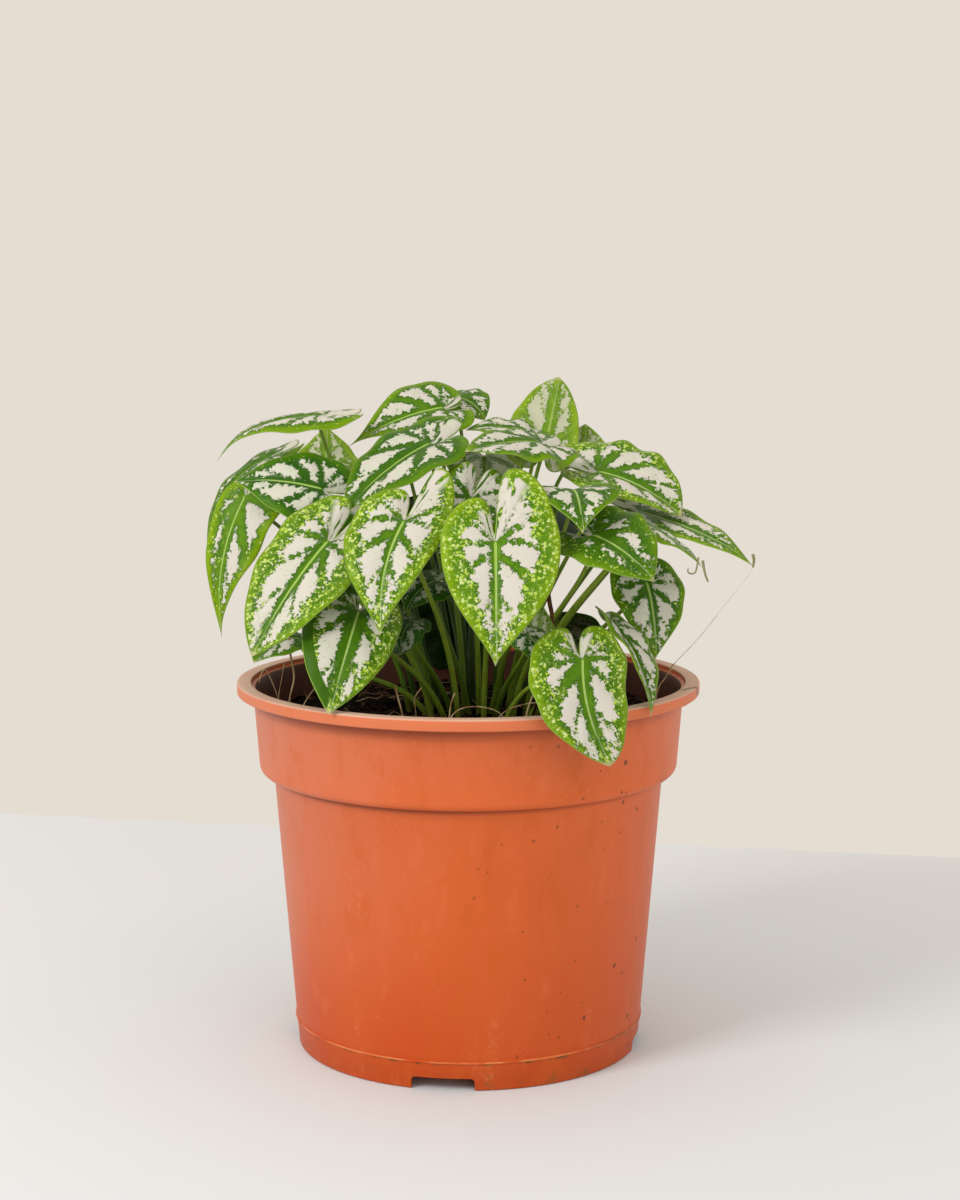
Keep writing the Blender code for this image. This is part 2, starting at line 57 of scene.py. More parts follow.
# Table and wall. The table's far edge runs between two points.
TABLE_BACK = ((-1600.0, 638.0), (1600.0, 4.0))
TABLE_FRONT = -1600.0
TABLE_DROP = 0.15
TABLE_COLOUR = (232, 235, 240)
TABLE_COLOUR_WORN = (230, 233, 238)
# painted shade: the table near the camera, against the front light's pool
TABLE_COLOUR_NEAR = (223, 230, 236)
# painted light: a bluer table beside the pot, cancelling the red light that the pot throws on it
TABLE_COLOUR_BESIDE = (224, 233, 239)
TABLE_NEAR = (-40.0, -280.0)        # where the near colour starts and is full, along y
TABLE_BESIDE = (300.0, 80.0)        # the same for the colour beside the pot, as distances from it
WALL_COLOUR = (229, 221, 210)
AMBIENT = 1.0

# Square lights: name, place and size in metres, power in watts, colour
LIGHTS = (
    ("window", (-0.92, -0.86, 0.98), 0.5, 10.0, (1.0, 0.98, 0.95)),
    ("soft front", (0.6, -1.4, 0.75), 1.0, 3.5, (1.0, 1.0, 1.0)),
)
LIGHT_TARGET = (0, 0, 0.13)

# Pot, in millimetres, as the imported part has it
POT_HEIGHT = 136.0
RIM_RADIUS = 85.0
RIM_OPENING = 79.8
LIP_FACE = 4.2
LIP_ROUND = 0.7
LIP_LINE = POT_HEIGHT - LIP_FACE
STEP_DEPTH = 1.6
STEP_WIDTH = 1.4
COLLAR_TOP_RADIUS = 79.0
COLLAR_FOOT_RADIUS = 77.0
COLLAR_FOOT_HEIGHT = 102.5
COLLAR_ROUND = 3.0
COLLAR_SLOPE = 0.068
BODY_TOP_RADIUS = 71.8
BODY_FOOT_RADIUS = 64.3
RIDGE_HEIGHT = 10.3
RIDGE_PROUD = 0.5
RIDGE_CREST = 0.15
FOOT_RADIUS = 63.4
FOOT_EASE = 0.4
FOOT_INNER_EASE = 0.3
CORNER_EASE = 0.8
WALL = 1.6
FLOOR_TOP = 8.5
FLOOR_UNDERSIDE = 6.5
CENTRE_HOLE_RADIUS = 5.0
DRAIN_HOLE_RADIUS = 5.0
DRAIN_HOLE_RING = 42.0
DRAIN_HOLE_SIDES = 28
DRAIN_HOLES = 6
NOTCHES = 4
NOTCH_WIDTH = 22.6
NOTCH_HEIGHT = 4.5
NOTCH_ROUND = 1.6
NOTCH_REACH = 6.4
FIRST_NOTCH_TURN = -8.0
POT_SIDES = 240
CUT_BEYOND = 2.0
SHARP_ANGLE = math.radians(35)
CRACK = (80.6, -22.0)               # across and depth of the crack in the lip
CRACK_WAY = (0.66, 0.75)            # the way it runs
COLLAR_DIRT = (70.0, 104.5)         # across and height of the dirt on the collar


class PotColour:
    """Screen colours of the pot's plastic, of what has settled on it, and of the painted sheen and shade on
    it.
    """
    low, high = (200, 76, 10), (222, 106, 50)
    cloud = (210, 94, 36)
    # painted sheen on the left and at the top
    painted_sheen = (206, 114, 80)
    rich = (184, 66, 4)
    foot = (170, 64, 0)
    mottle, mottle_light = (198, 88, 12), (226, 118, 70)
    dust = (222, 140, 102)
    scuff = (232, 170, 130)
    algae = (88, 54, 16)
    # corner is painted shade under the lip and the collar
    corner = (116, 40, 8)
    ridge = (226, 154, 98)
    ridge_dirt = (104, 74, 20)
    foot_dirt = (120, 80, 22)
    crust = (112, 74, 34)
    lip, lip_top = (214, 124, 84), (216, 184, 162)
    crack = (92, 86, 62)
    stain, stain_dark = (118, 64, 46), (66, 32, 22)
    inner_step = (128, 84, 64)


# Soil, in millimetres
SOIL_EDGE_HEIGHT = 121.0
SOIL_MOUND = 2.5
SOIL_RADIUS = 76.0
SOIL_RINGS = 60
SOIL_SIDES = 300
SOIL_GAP = 0.3
SOIL_RELIEF = ((11.0, (0, 0, 0), 1.6), (4.2, (9, 3, 5), 1.5), (1.7, (2, 8, 1), 0.9))
CRUMBS = 420
CRUMB_SPREAD = 0.97
CRUMB_SIZES = (0.6, 2.1)
CRUMB_STRETCH = ((0.7, 1.5), (0.6, 1.1), (0.4, 0.8))
CRUMB_LIFT = 0.1
CRUMB_ROUGH, CRUMB_GRAIN = 0.35, 0.9

# Fibres strewn over the soil: name, material and its two colours, count, then the limits of the
# random length, radius and lift of one, in millimetres
FIBRES = (
    ("soil_fibres", "soil fibre", ((112, 80, 54), (70, 46, 32)), 170, (6, 26), (0.12, 0.34), (0.2, 2.2)),
    ("soil_roots", "pale root", ((196, 172, 134), (150, 122, 86)), 46, (10, 30), (0.10, 0.22), (0.6, 3.4)),
)
FIBRE_SIDES = 5
FIBRE_SPREAD = 0.96
FIBRE_STEP = 1.6
FIBRE_SUNK = 0.4
FIBRE_TURN, FIBRE_WANDER = 0.18, 0.25
FIBRE_TAPER = 0.7
FIBRE_TO_WALL = 1.5

# Thin strands on the plant. Each is its radius and the points that it runs through.
DRY_ROOTS = (
    (0.5, (-64, -26, 155), (-63.5, -26, 149), (-62.4, -26, 143), (-62.4, -26, 139), (-64, -26, 132),
     (-65, -26, 120)),
    (0.25, (-78, 4, 133), (-76, 5, 138), (-74, 5, 136), (-71, 5, 128), (-70, 4, 120)),
    (0.22, (-68, 0, 141), (-69, 0, 135), (-70, -1, 129), (-70, -2, 119)),
    (0.3, (-62, -30, 120), (-59, -30, 130), (-57, -30, 134), (-54, -30, 138)),
    (0.45, (-25, -55, 142), (-24, -55, 138), (-22.5, -55, 132), (-20, -54, 119)),
    (0.26, (-16, -50, 141), (-18.5, -50, 137), (-18, -50, 131), (-18, -50, 119)),
    (0.3, (-4.5, -50, 139), (-6, -50, 134), (-7.5, -50, 119)),
    (0.28, (-10, -55, 122), (-6, -55, 131), (-2, -55, 134.5), (5, -55, 135), (12, -55, 132),
     (17, -55, 121)),
    (0.25, (7, -52, 121), (11, -52, 131), (18, -52, 135), (27, -52, 136), (31, -52, 133), (35, -52, 121)),
    (0.42, (19, -45, 119), (21, -45, 132), (24, -45, 140), (26.5, -45, 146)),
    (0.3, (65, -28, 144), (66, -28, 140), (67.4, -28, 136), (67, -28, 120)),
    (0.28, (73, -31, 146), (70, -31, 141), (67.5, -30, 136), (65, -29, 120)),
)
LEAF_BASE = (
    (0.95, (28, -30, 174), (29, -30, 168), (30, -30, 162), (30, -29, 150), (26, -24, 136), (22, -18, 120)),
)
HAIR = (
    (0.2, (99.6, -44, 185.5), (99, -44, 182), (95, -42, 175.5), (90, -40, 168.5), (82, -36, 157),
     (73, -31, 146)),
)
LEAF_TAILS = (
    (0.55, (81.6, -46, 185), (82, -46, 182.6), (82.6, -46, 180), (83.5, -46, 177.6)),
    (0.36, (80.2, -45, 186), (79.7, -46, 183.4), (79.1, -46, 181), (77.6, -46, 180.4), (76.5, -46, 181.1),
     (76.6, -46, 182.3)),
    (0.6, (99.2, -44, 187), (99.6, -44, 185), (99.3, -44, 182.4)),
)
# The pieces made of them: name, slot, material and its two colours, sides, taper, strands
STRANDS = (
    ("dry_roots", "soil", "dry root", ((186, 164, 124), (134, 100, 66)), 6, 0.4, DRY_ROOTS),
    ("dry_leaf_base", "soil", "dry base", ((70, 40, 26), (110, 74, 40)), 8, 0.4, LEAF_BASE),
    ("dry_hair", "soil", "dry hair", ((228, 218, 210), (206, 194, 184)), 5, 0.0, HAIR),
    ("leaf_tails", "leaf", "leaf tail", ((122, 126, 78), (146, 142, 110)), 6, 0.4, LEAF_TAILS),
)
STRAND_STEPS = 8
TUBE_GUIDE = (0.31, 0.86, 0.40)     # a direction that no strand or stalk follows

# Leaves, in millimetres
BLADE_THICKNESS = 0.5
GRID = 0.9
GRID_COLUMN = 0.87                  # columns of points stand this share of GRID apart
GRID_CLEAR = 0.5                    # and stay this share of it off the margin
MERGE_DISTANCE = 1e-6
NORMAL_STEP = 0.1
STALK_SIDES = 10
STALK_STEPS = 30
STALK_FOOT_RADIUS = 1.15
STALK_TOP_RADIUS = 0.65
STALK_TAPER = 1.3
STALK_FLARE = (1.5, 1.2)
STALK_FOOT_DEPTH = 5.0
STALK_DROP = 1.6
STALK_LEAN_LOW = 0.8
STALK_LEAN_TALL = 0.22
STALK_LOW, STALK_TALL = 35.0, 80.0
STALK_TOP_REACH = 0.3
STALK_FOOT_REACH = 0.45
CROWN = (4.0, 0.0)
CROWN_SHARE = 0.30
POINTED_TIP = ((0.0, 1.0), (0.16, 0.80), (0.90, 0.56), (1.0, 0.14))
ROUND_TIP = ((0.0, 1.0), (0.62, 0.98), (1.0, 0.70), (1.0, 0.14))
SIDE_CURVE = ((1.0, 0.14), (1.07, -0.22), (0.80, -0.98), (0.34, -1.0))
SINUS_CURVE = ((0.34, -1.0), (0.12, -1.01), (0.03, -0.85), (0.0, -0.22))
TIP_STEPS, SIDE_STEPS, SINUS_STEPS = 26, 20, 12
BLADE_WAVES = 2.3


class Leaf(NamedTuple):
    """One leaf. Places are in millimetres from the middle of the pot's foot."""
    name: str                   # its node's name without leaf_ before it
    joint: tuple                # where the stalk meets the blade
    tip: tuple                  # the blade's point
    face: tuple                 # the way that the upper side looks
    width: float = 34.0
    lobe: float = 0.42          # lobes reach this share of the length behind the joint
    arch: float = 3.0           # the midrib's bow above a straight line
    fold: float = 10.0          # degrees that each half is raised
    cup: float = 3.0            # how far the margins turn down
    wave: float = 1.0           # height of the margin's waves
    hook: float = 0.0           # how far the tip turns down
    blunt: float = 0.0          # 0 is the pointed tip, 1 the round one
    uneven: float = 0.0         # how much wider the half on the leaf's own right is than its left
    skew: float = 0.0           # how much further the lobe on that side reaches
    bow: float = 0.0            # how far the midrib curves to that side
    foot: tuple = (0.0, 0.0)    # nudge of the stalk's foot on the soil


LEAVES = (
    Leaf("left_arching", (-55, 4, 232.5), (-93, 0, 225), (-0.1, -0.18, 1), 24, arch=1.2, cup=5,
         wave=0.5, hook=9),
    Leaf("left_rear_upright", (-54.5, 34, 211), (-55, 50, 225.5), (0, 1, -0.5), 26, lobe=0.25,
         cup=2, blunt=0.4, foot=(-0.2, -0.2)),
    Leaf("left_middle", (-53, -12, 207), (-85, -6, 209), (-0.1, -0.75, 0.6), 30, uneven=-0.06,
         skew=-0.2, foot=(-1.5, 0)),
    Leaf("left_outer", (-75, 26, 215.5), (-98, 20, 183), (-0.75, -0.4, 0.6), 21, lobe=0.3, arch=6),
    Leaf("left_hanging", (-82, 4, 202.5), (-90.5, -3, 151.5), (-0.5, -0.85, 0.3), 28, lobe=0.16,
         fold=15, blunt=-0.2, uneven=-0.3, skew=-0.3, bow=3),
    Leaf("front_left", (-49, -42, 191), (-74, -60, 153.5), (-0.35, -0.85, 0.4), 37.5, lobe=0.44,
         blunt=0.45, skew=-0.1, foot=(-1.5, 0.2)),
    Leaf("low_left", (-60.5, -18, 153.5), (-76, -34, 147), (-0.2, -0.45, 0.8), 26, blunt=0.4,
         foot=(0.5, -2.7)),
    Leaf("front_mid_left", (-22, -50, 199), (-29.5, -68, 162), (-0.1, -0.9, 0.45), 33.5, lobe=0.44,
         uneven=0.06, skew=-0.3, bow=2.5, foot=(0.1, -0.1)),
    Leaf("front_centre", (9.5, -63, 193), (9.5, -75, 152.5), (0.05, -0.93, 0.35), 41, lobe=0.52,
         uneven=-0.085, skew=-0.25),
    Leaf("low_front_left", (-38, -46, 167), (-47, -74, 136), (0.1, -0.85, 0.5), 34, lobe=0.28,
         cup=5, blunt=0.4, uneven=0.06, foot=(-0.1, 0.1)),
    Leaf("top_left", (-14, -9, 223), (-44, -28, 200), (-0.25, -0.45, 0.85), 38, lobe=0.34,
         arch=2.5, blunt=0.3, skew=0.3),
    Leaf("top_left_rear", (-10, 26, 234), (-45.5, 16, 219.5), (-0.3, -0.65, 0.75), 35, lobe=0.25,
         wave=0.4, blunt=-0.45, uneven=0.06),
    Leaf("top_small", (-5, 46, 236.5), (6, 40, 228.5), (0.3, -0.6, 0.75), 24, lobe=0.5, wave=0.4,
         blunt=0.5, foot=(0, -0.1)),
    Leaf("rear_upright", (29, 32, 219), (34.5, 52, 244.5), (0, 1, -0.5), 28, cup=2, blunt=0.7,
         uneven=0.14),
    Leaf("rear_small", (42, 42, 212), (45, 52, 226.5), (0.2, 1, -0.2), 24, lobe=0.3, blunt=0.5,
         foot=(1, -1.8)),
    Leaf("right_upper", (47, -12, 213), (76, -24, 198), (0.15, -0.5, 0.85), 37, fold=17,
         blunt=0.5, uneven=-0.14, skew=-0.2, foot=(-0.2, 0)),
    Leaf("right_long", (62, -10, 198.5), (99.5, -44, 186.5), (0.2, -0.5, 1), 26, lobe=0.3,
         arch=1, hook=4, foot=(0.1, -1)),
    Leaf("right_narrow", (60, -36.6, 198), (82.2, -46, 184.4), (0.55, -0.25, 0.75), 17,
         lobe=0.15, arch=0.6, hook=2, foot=(0.1, -0.3)),
    Leaf("right_centre", (43.5, -48, 194), (63.5, -60, 179.5), (0.25, -0.75, 0.6), 33, blunt=0.4,
         uneven=-0.12, foot=(0.2, -2.3)),
    Leaf("right_front_small", (36.7, -38, 209), (39.2, -61, 196), (0.05, -0.45, 0.9), 33,
         lobe=0.34, arch=4, foot=(0.8, 0.8)),
    Leaf("top_centre", (23, 16, 224), (-1, 19, 226), (-0.1, -0.25, 1), 27, arch=2.5, blunt=0.3),
    Leaf("top_centre_front", (25, -16, 224), (-1, -34, 222), (-0.1, -0.5, 1), 29, arch=1.5,
         blunt=0.3, uneven=-0.15, foot=(0.6, 0.3)),
    Leaf("behind_centre", (1, -30, 205), (-8, -36, 176), (0, -0.9, 0.4), 26, foot=(0.9, -0.6)),
    Leaf("low_front_right", (39, -70, 154), (47.5, -88, 121), (0.4, -0.8, 0.35), 37, lobe=0.34,
         arch=2, fold=6, blunt=0.65, uneven=0.06, bow=4, foot=(-1.1, -0.5)),
    Leaf("low_right_folded", (51, -41, 161.5), (63.2, -61, 132.8), (0.8, -0.45, 0.35), 26,
         lobe=0.2, fold=25, foot=(4, -4.9)),
    Leaf("low_right", (64, -20, 174), (66.5, -29, 147), (0.3, -0.9, 0.3), 28, lobe=0.35,
         foot=(3.3, -2.2)),
    Leaf("inner_upper", (-12, -16, 174), (-23, -24, 163), (-0.3, -0.7, 0.6), 22, lobe=0.4,
         foot=(1, -2)),
    Leaf("inner_round", (-20.5, -34, 161.5), (-24.5, -42, 151), (-0.2, -0.8, 0.4), 15, blunt=0.8,
         foot=(-2.5, 0.5)),
    Leaf("inner_small", (20.7, -49, 159.5), (27.7, -55, 147), (0.2, -0.8, 0.5), 13, lobe=0.3,
         foot=(0.8, 0)),
    Leaf("inner_young", (25, -35, 156), (26.6, -33, 168), (0, 1, 0.1), 12, foot=(-2.4, 2.8)),
    Leaf("back_top_left", (-24, 42, 214), (-36, 68, 194), (-0.3, 0.4, 0.85), 30, foot=(-1, 1)),
    Leaf("back_top", (6, 58, 214), (8, 91, 190), (0, 0.5, 0.85), 34, lobe=0.28, foot=(0.2, -0.4)),
    Leaf("back_left", (-46, 44, 190), (-68, 62, 164), (-0.5, 0.7, 0.5), 34, foot=(0.3, -0.3)),
    Leaf("back_centre", (-14, 58, 188), (-18, 84, 154), (-0.1, 0.85, 0.5), 38, foot=(0, 1.1)),
    Leaf("back_right", (34, 58, 194), (50, 84, 169), (0.3, 0.8, 0.5), 38, foot=(-2.2, 1.1)),
    Leaf("back_far_right", (58, 20, 200), (84, 34, 186), (0.4, 0.4, 0.85), 32),
    Leaf("back_low_left", (-46, 50, 166), (-62, 72, 138), (-0.5, 0.8, 0.4), 36, foot=(-2.1, 3.5)),
    Leaf("back_low", (-4, 54, 156), (-12, 72, 127), (0, 0.85, 0.5), 46, lobe=0.3, blunt=0.8,
         foot=(0.3, 7.4)),
    Leaf("back_low_right", (34.5, 50, 151), (41, 65, 130), (0.4, 0.8, 0.4), 36, lobe=0.25,
         foot=(1.7, 1.9)),
)


class Pattern(NamedTuple):
    """How one leaf is marked."""
    # dark is partly the leaf's own tone and partly painted shade for leaves in the shade of others
    dark: float = 0.4           # 0 is bright yellow-green, 1 dark green
    green: float = 1.0          # how broad the green bands along the veins are
    margin: float = 2.6         # width of the green zone inside the margin, in millimetres
    speckles: float = 0.6       # how many pale specks that zone has
    strip: float = 0.0          # width of a plain dark green edge on the leaf's own right


PATTERNS = {
    "left_arching": Pattern(0.35, 2.2, 5.4, 0.4),
    "left_rear_upright": Pattern(0.15, 2.6, 5.2, 0.3),
    "left_middle": Pattern(0.9, 1.5, 4.8, 0.3),
    "left_outer": Pattern(0.6, 3.6, 8.0, 0.4),
    "left_hanging": Pattern(0.1, 2.6, 4.6, 0.6),
    "front_left": Pattern(0.4, 1.4, 7.2, 1.0),
    "low_left": Pattern(0.7, 1.8, 4.2, 0.4),
    "front_mid_left": Pattern(0.35, 1.3, 5.6, 1.0),
    "front_centre": Pattern(0.15, 1.1, 7.0, 1.0),
    "low_front_left": Pattern(0.6, 2.6, 6.2, 1.0, strip=4.2),
    "top_left": Pattern(0.7, 2.3, 5.2, 0.3),
    "top_left_rear": Pattern(0.35, 1.6, 4.0, 0.3),
    "top_small": Pattern(0.6, 2.6, 4.4, 0.2),
    "rear_upright": Pattern(0.0, 2.4, 5.4, 0.6),
    "rear_small": Pattern(0.2, 2.0, 3.6, 0.4),
    "right_upper": Pattern(0.35, 2.1, 5.6, 0.9),
    "right_long": Pattern(0.4, 2.4, 5.4, 0.6),
    "right_narrow": Pattern(0.25, 1.9, 4.2, 0.3),
    "right_centre": Pattern(0.6, 2.7, 8.4, 0.6),
    "right_front_small": Pattern(0.65, 1.7, 4.0, 0.2),
    "top_centre": Pattern(0.5, 2.0, 4.6, 0.3),
    "top_centre_front": Pattern(0.45, 1.9, 4.0, 0.2),
    "behind_centre": Pattern(0.5, 1.8, 3.4, 0.4),
    "low_front_right": Pattern(0.35, 2.0, 6.6, 0.9),
    "low_right_folded": Pattern(0.5, 1.8, 4.0, 0.3),
    "low_right": Pattern(0.6, 1.5, 4.0, 0.6),
    "inner_upper": Pattern(1.2, 2.4, 4.0, 0.2),
    "inner_round": Pattern(1.3, 2.6, 4.0, 0.4),
    "inner_small": Pattern(1.1, 1.8, 3.0, 0.3),
    "inner_young": Pattern(0.7, 2.5, 4.0, 0.1),
}
BACK_GREEN = 1.5
# the back leaves' darkness, partly painted shade
BACK_DARK = (0.5, 0.9)
# painted shade: how deep the gloom colour goes on leaves inside and behind the crown
GLOOM = 1.4
HALF_GLOOM = 1.2
IN_GLOOM = {
    "back_left": GLOOM,
    "back_centre": GLOOM,
    "back_right": GLOOM,
    "back_low_left": GLOOM,
    "back_low": GLOOM,
    "back_low_right": HALF_GLOOM,
}
# painted shade: stalks whose feet stand further back get darker colours
SHADY_STALKS = (-12.0, 10.0)        # stalks whose feet stand further back are darker
STALK_SHADES = (0.3, GLOOM)


class Vein(NamedTuple):
    """A side vein. Across is a share of half the width, along a share of the length."""
    start: float                # where it leaves the midrib
    bend: tuple
    end: tuple
    band: float                 # half width of its green band, in millimetres


VEINS = (
    Vein(0.0, (0.07, -0.45), (0.22, -0.90), 0.20),
    Vein(0.0, (0.20, -0.50), (0.50, -0.92), 0.30),
    Vein(0.0, (0.38, -0.30), (0.84, -0.50), 0.50),
    Vein(0.0, (0.48, -0.04), (0.97, 0.08), 0.55),
    Vein(0.08, (0.40, 0.18), (0.82, 0.52), 0.90),
    Vein(0.40, (0.20, 0.52), (0.46, 0.78), 0.15),
    Vein(0.62, (0.10, 0.74), (0.24, 0.92), 0.10),
)
VEIN_STEPS = 12
VEIN_JITTER = 0.06
VEIN_APART = 3.0                    # keeps the teeth of two veins from matching
HALVES_APART = 90.0                 # and those of the midrib's two sides
PATTERN_APART = 7.0                 # and the markings of two leaves
BAND_SPREAD = (0.6, 1.5)
BAND_START, BAND_TAPER = 1.15, 0.55
WEDGE, WEDGE_START = 1.1, 0.7
MIDRIB_BAND = 1.45
MIDRIB_START, MIDRIB_TAPER = 1.1, 0.45
MIDRIB_LINE, MIDRIB_END = 0.52, 0.75
PAST_MIDRIB = 0.3
MARKED_WIDTH = 36.0                 # the blade width that these and the relief's sizes are meant for
SINUS_HALF = 0.13
SINUS_DIP = 2.0
SINUS_DIP_WIDTH = 3.0
SINUS_DIP_LENGTH = 4.0
QUILT_HEIGHT = 0.5
QUILT_WIDTH = 2.4
GROOVE_DEPTH = 0.16
GROOVE_WIDTH = 0.5
SIDE_GROOVE = 0.6
KEEL_HEIGHT = 0.45
KEEL_WIDTH = 0.7
KEEL_TAPER = 0.8
SIDE_KEEL = 0.3
RELIEF_FADE = 3.0
EDGE_SHARE, EDGE_WIDTH = 0.35, 1.5

# What the blade's colours follow, kept on the mesh as three numbers to an attribute
FIELDS = {
    "leaf_place": ("across", "along", "seed"),
    "leaf_bands": ("band", "to_margin", "line"),
    "leaf_zone": ("zone", "ahead", "to_vein"),
    "leaf_comb": ("run", "away", "margin_run"),
    "leaf_back": ("turn", "from_joint", "to_outer"),
    "leaf_strip": ("strip", "strip", "strip"),
    "leaf_look": ("upper", "dark", "speckles"),
}


class LeafColour:
    """Screen colours of the blades and stalks."""
    bright, bright_edge = (92, 136, 14), (126, 160, 0)
    # deep and deep_edge are partly painted shade: darker greens for leaves in the shade
    deep, deep_edge = (38, 84, 10), (60, 110, 8)
    rim = (34, 82, 12)
    # pale_green is partly painted shade: greener patches on shaded leaves
    pale, pale_green = (208, 203, 195), (198, 206, 182)
    veinlet = (96, 122, 52)
    speck, speck_pale = (176, 204, 62), (212, 224, 158)
    strip, strip_light = (42, 84, 6), (70, 108, 12)
    midrib = (164, 198, 92)
    margin = (134, 166, 66)
    dry_tip = (200, 190, 146)
    # under is partly the under side's own paler green and partly painted light shining through the blade
    under, under_vein = (140, 170, 60), (150, 178, 84)
    # gloom is painted shade inside the crown
    gloom = (14, 48, 6)
    # stalk_dark and foot_dark are painted shade for stalks in the shade; stalk_gloom is painted shade low
    # down at the back
    stalk, stalk_dark = (160, 182, 60), (106, 136, 36)
    foot, foot_dark = (156, 184, 58), (84, 118, 26)
    sheath = (104, 84, 44)
    stalk_gloom = (24, 52, 10)


def linear(colour):
    """A screen colour of 0 to 255 as the shader's own light values."""
    shares = np.array(colour, float) / 255
    low = shares / 12.92
    high = ((shares + 0.055) / 1.055) ** 2.4
    return tuple(float(v) for v in np.where(shares <= 0.04045, low, high))


class Value:
    """What a material's node gives. Sums, products and steps of values add the nodes for them."""

    def __init__(self, shader, socket):
        self.shader = shader
        self.socket = socket

    def __add__(self, other):
        return self.shader.math("ADD", self, other)

    def __sub__(self, other):
        return self.shader.math("SUBTRACT", self, other)

    def __rsub__(self, other):
        return self.shader.math("SUBTRACT", other, self)

    def __mul__(self, other):
        return self.shader.math("MULTIPLY", self, other)

    def __abs__(self):
        return self.shader.math("ABSOLUTE", self)

    __radd__ = __add__

    def step(self, low, high, smooth=True):
        """0 below low and 1 above high, or the other way round where low is the greater."""
        inputs = {"Value": self, "From Min": low, "From Max": high}
        kind = "SMOOTHSTEP" if smooth else "LINEAR"
        return self.shader.result("MapRange", inputs, interpolation_type=kind)

    def tint(self, colour, share):
        """This colour with a share of another over it."""
        return self.shader.mix(share, self, colour)


class Shader:
    """Builds one material. Lengths are in millimetres and colours are screen colours."""

    def __init__(self, name, roughness, shine=0.5):
        self.material = bpy.data.materials.new(name)
        self.material.use_nodes = True
        self.tree = self.material.node_tree
        self.surface = self.tree.nodes["Principled BSDF"].inputs
        self.surface["Roughness"].default_value = roughness
        self.surface["Specular IOR Level"].default_value = shine

    def put(self, value, socket):
        """Link a value to a socket, or set the socket to a number, vector or colour."""
        if isinstance(value, Value):
            self.tree.links.new(value.socket, socket)
        elif socket.type == "RGBA":
            socket.default_value = (*linear(value), 1.0)
        else:
            socket.default_value = value

    def node(self, kind, inputs, **settings):
        """Add a node with its settings and inputs."""
        node = self.tree.nodes.new("ShaderNode" + kind)
        for name, setting in settings.items():
            setattr(node, name, setting)
        for key, value in inputs.items():
            self.put(value, node.inputs[key])
        return node

    def result(self, kind, inputs, output=0, **settings):
        """Add a node and give one of its outputs."""
        return Value(self, self.node(kind, inputs, **settings).outputs[output])

    def math(self, operation, *values):
        return self.result("Math", dict(enumerate(values)), operation=operation)

    def distance(self, x, y):
        """How far a point is from the middle, seen from above."""
        return self.math("SQRT", x * x + y * y)

    def split(self, vector):
        """The three numbers of a vector."""
        return [Value(self, socket) for socket in self.node("SeparateXYZ", {0: vector}).outputs]

    def join(self, x, y, z):
        return self.result("CombineXYZ", {0: x, 1: y, 2: z})

    def attribute(self, name):
        """The three numbers of a vector attribute on the mesh."""
        return self.split(self.result("Attribute", {}, "Vector", attribute_name=name))

    def place(self, stretch=(1.0, 1.0, 1.0)):
        """The point on the object in millimetres, stretched along its axes."""
        point = self.result("TexCoord", {}, "Object")
        return self.result("Mapping", {"Vector": point, "Scale": [s / MM for s in stretch]})

    def noise(self, vector, scale, detail=2.0, roughness=0.5):
        """Noise from about -0.5 to 0.5."""
        inputs = {"Vector": vector, "Scale": scale, "Detail": detail, "Roughness": roughness}
        return self.result("TexNoise", inputs, "Fac") - 0.5

    def spots(self, vector, scale):
        """Distance to the nearest of some scattered points, in cells."""
        return self.result("TexVoronoi", {"Vector": vector, "Scale": scale}, "Distance")

    def web(self, vector, scale):
        """Distance to the nearest wall between scattered cells."""
        inputs = {"Vector": vector, "Scale": scale}
        return self.result("TexVoronoi", inputs, "Distance", feature="DISTANCE_TO_EDGE")

    def mix(self, share, first, second):
        """A colour that goes from the first to the second as the share goes from 0 to 1."""
        return self.result("Mix", {0: share, 6: first, 7: second}, 2, data_type="RGBA")

    def bump(self, height, strength, distance):
        inputs = {"Height": height, "Strength": strength, "Distance": distance * MM}
        self.put(self.result("Bump", inputs), self.surface["Normal"])

    def finish(self, colour, roughness=None):
        self.put(colour, self.surface["Base Color"])
        if roughness is not None:
            self.put(roughness, self.surface["Roughness"])
        return self.material


def link(name, data):
    """Put a mesh, light or camera in the scene as an object."""
    thing = bpy.data.objects.new(name, data)
    bpy.context.collection.objects.link(thing)
    return thing


def add_object(name, vertices, faces, material):
    """A mesh object from points in millimetres."""
    mesh = bpy.data.meshes.new(name)
    mesh.from_pydata((np.array(vertices, float) * MM).tolist(), [], faces)
    if material:
        mesh.materials.append(material)
    mesh.shade_smooth()
    return link(name, mesh)


def outward(piece):
    """Turn all faces of a closed piece outward."""
    work = bmesh.new()
    work.from_mesh(piece.data)
    bmesh.ops.recalc_face_normals(work, faces=work.faces[:])
    work.to_mesh(piece.data)
    work.free()


def carry(piece, slot, *nodes):
    """Let a piece ride on the plant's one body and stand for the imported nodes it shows."""
    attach(piece, BODY)
    if nodes:
        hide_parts(*nodes)


def ring_faces(lower, upper, count):
    """Quads between two rings of points that start at the given indices."""
    faces = []
    for i in range(count):
        j = (i + 1) % count
        faces.append((lower + i, lower + j, upper + j, upper + i))
    return faces


def add_prism(vertices, faces, near, far):
    """Add a closed prism between two like outlines."""
    start, count = len(vertices), len(near)
    vertices += [*near, *far]
    faces += ring_faces(start, start + count, count)
    faces += [tuple(range(start, start + count)), tuple(range(start + count, start + 2 * count))]


def unit(vector):
    return vector / np.linalg.norm(vector)


def columns(*values):
    """Numbers side by side, where a single one fills its whole column."""
    return np.column_stack(np.broadcast_arrays(*values))


def set_vectors(mesh, name, values):
    """Keep three numbers for each point on the mesh."""
    attribute = mesh.attributes.new(name, "FLOAT_VECTOR", "POINT")
    attribute.data.foreach_set("vector", np.asarray(values, np.float32).ravel())


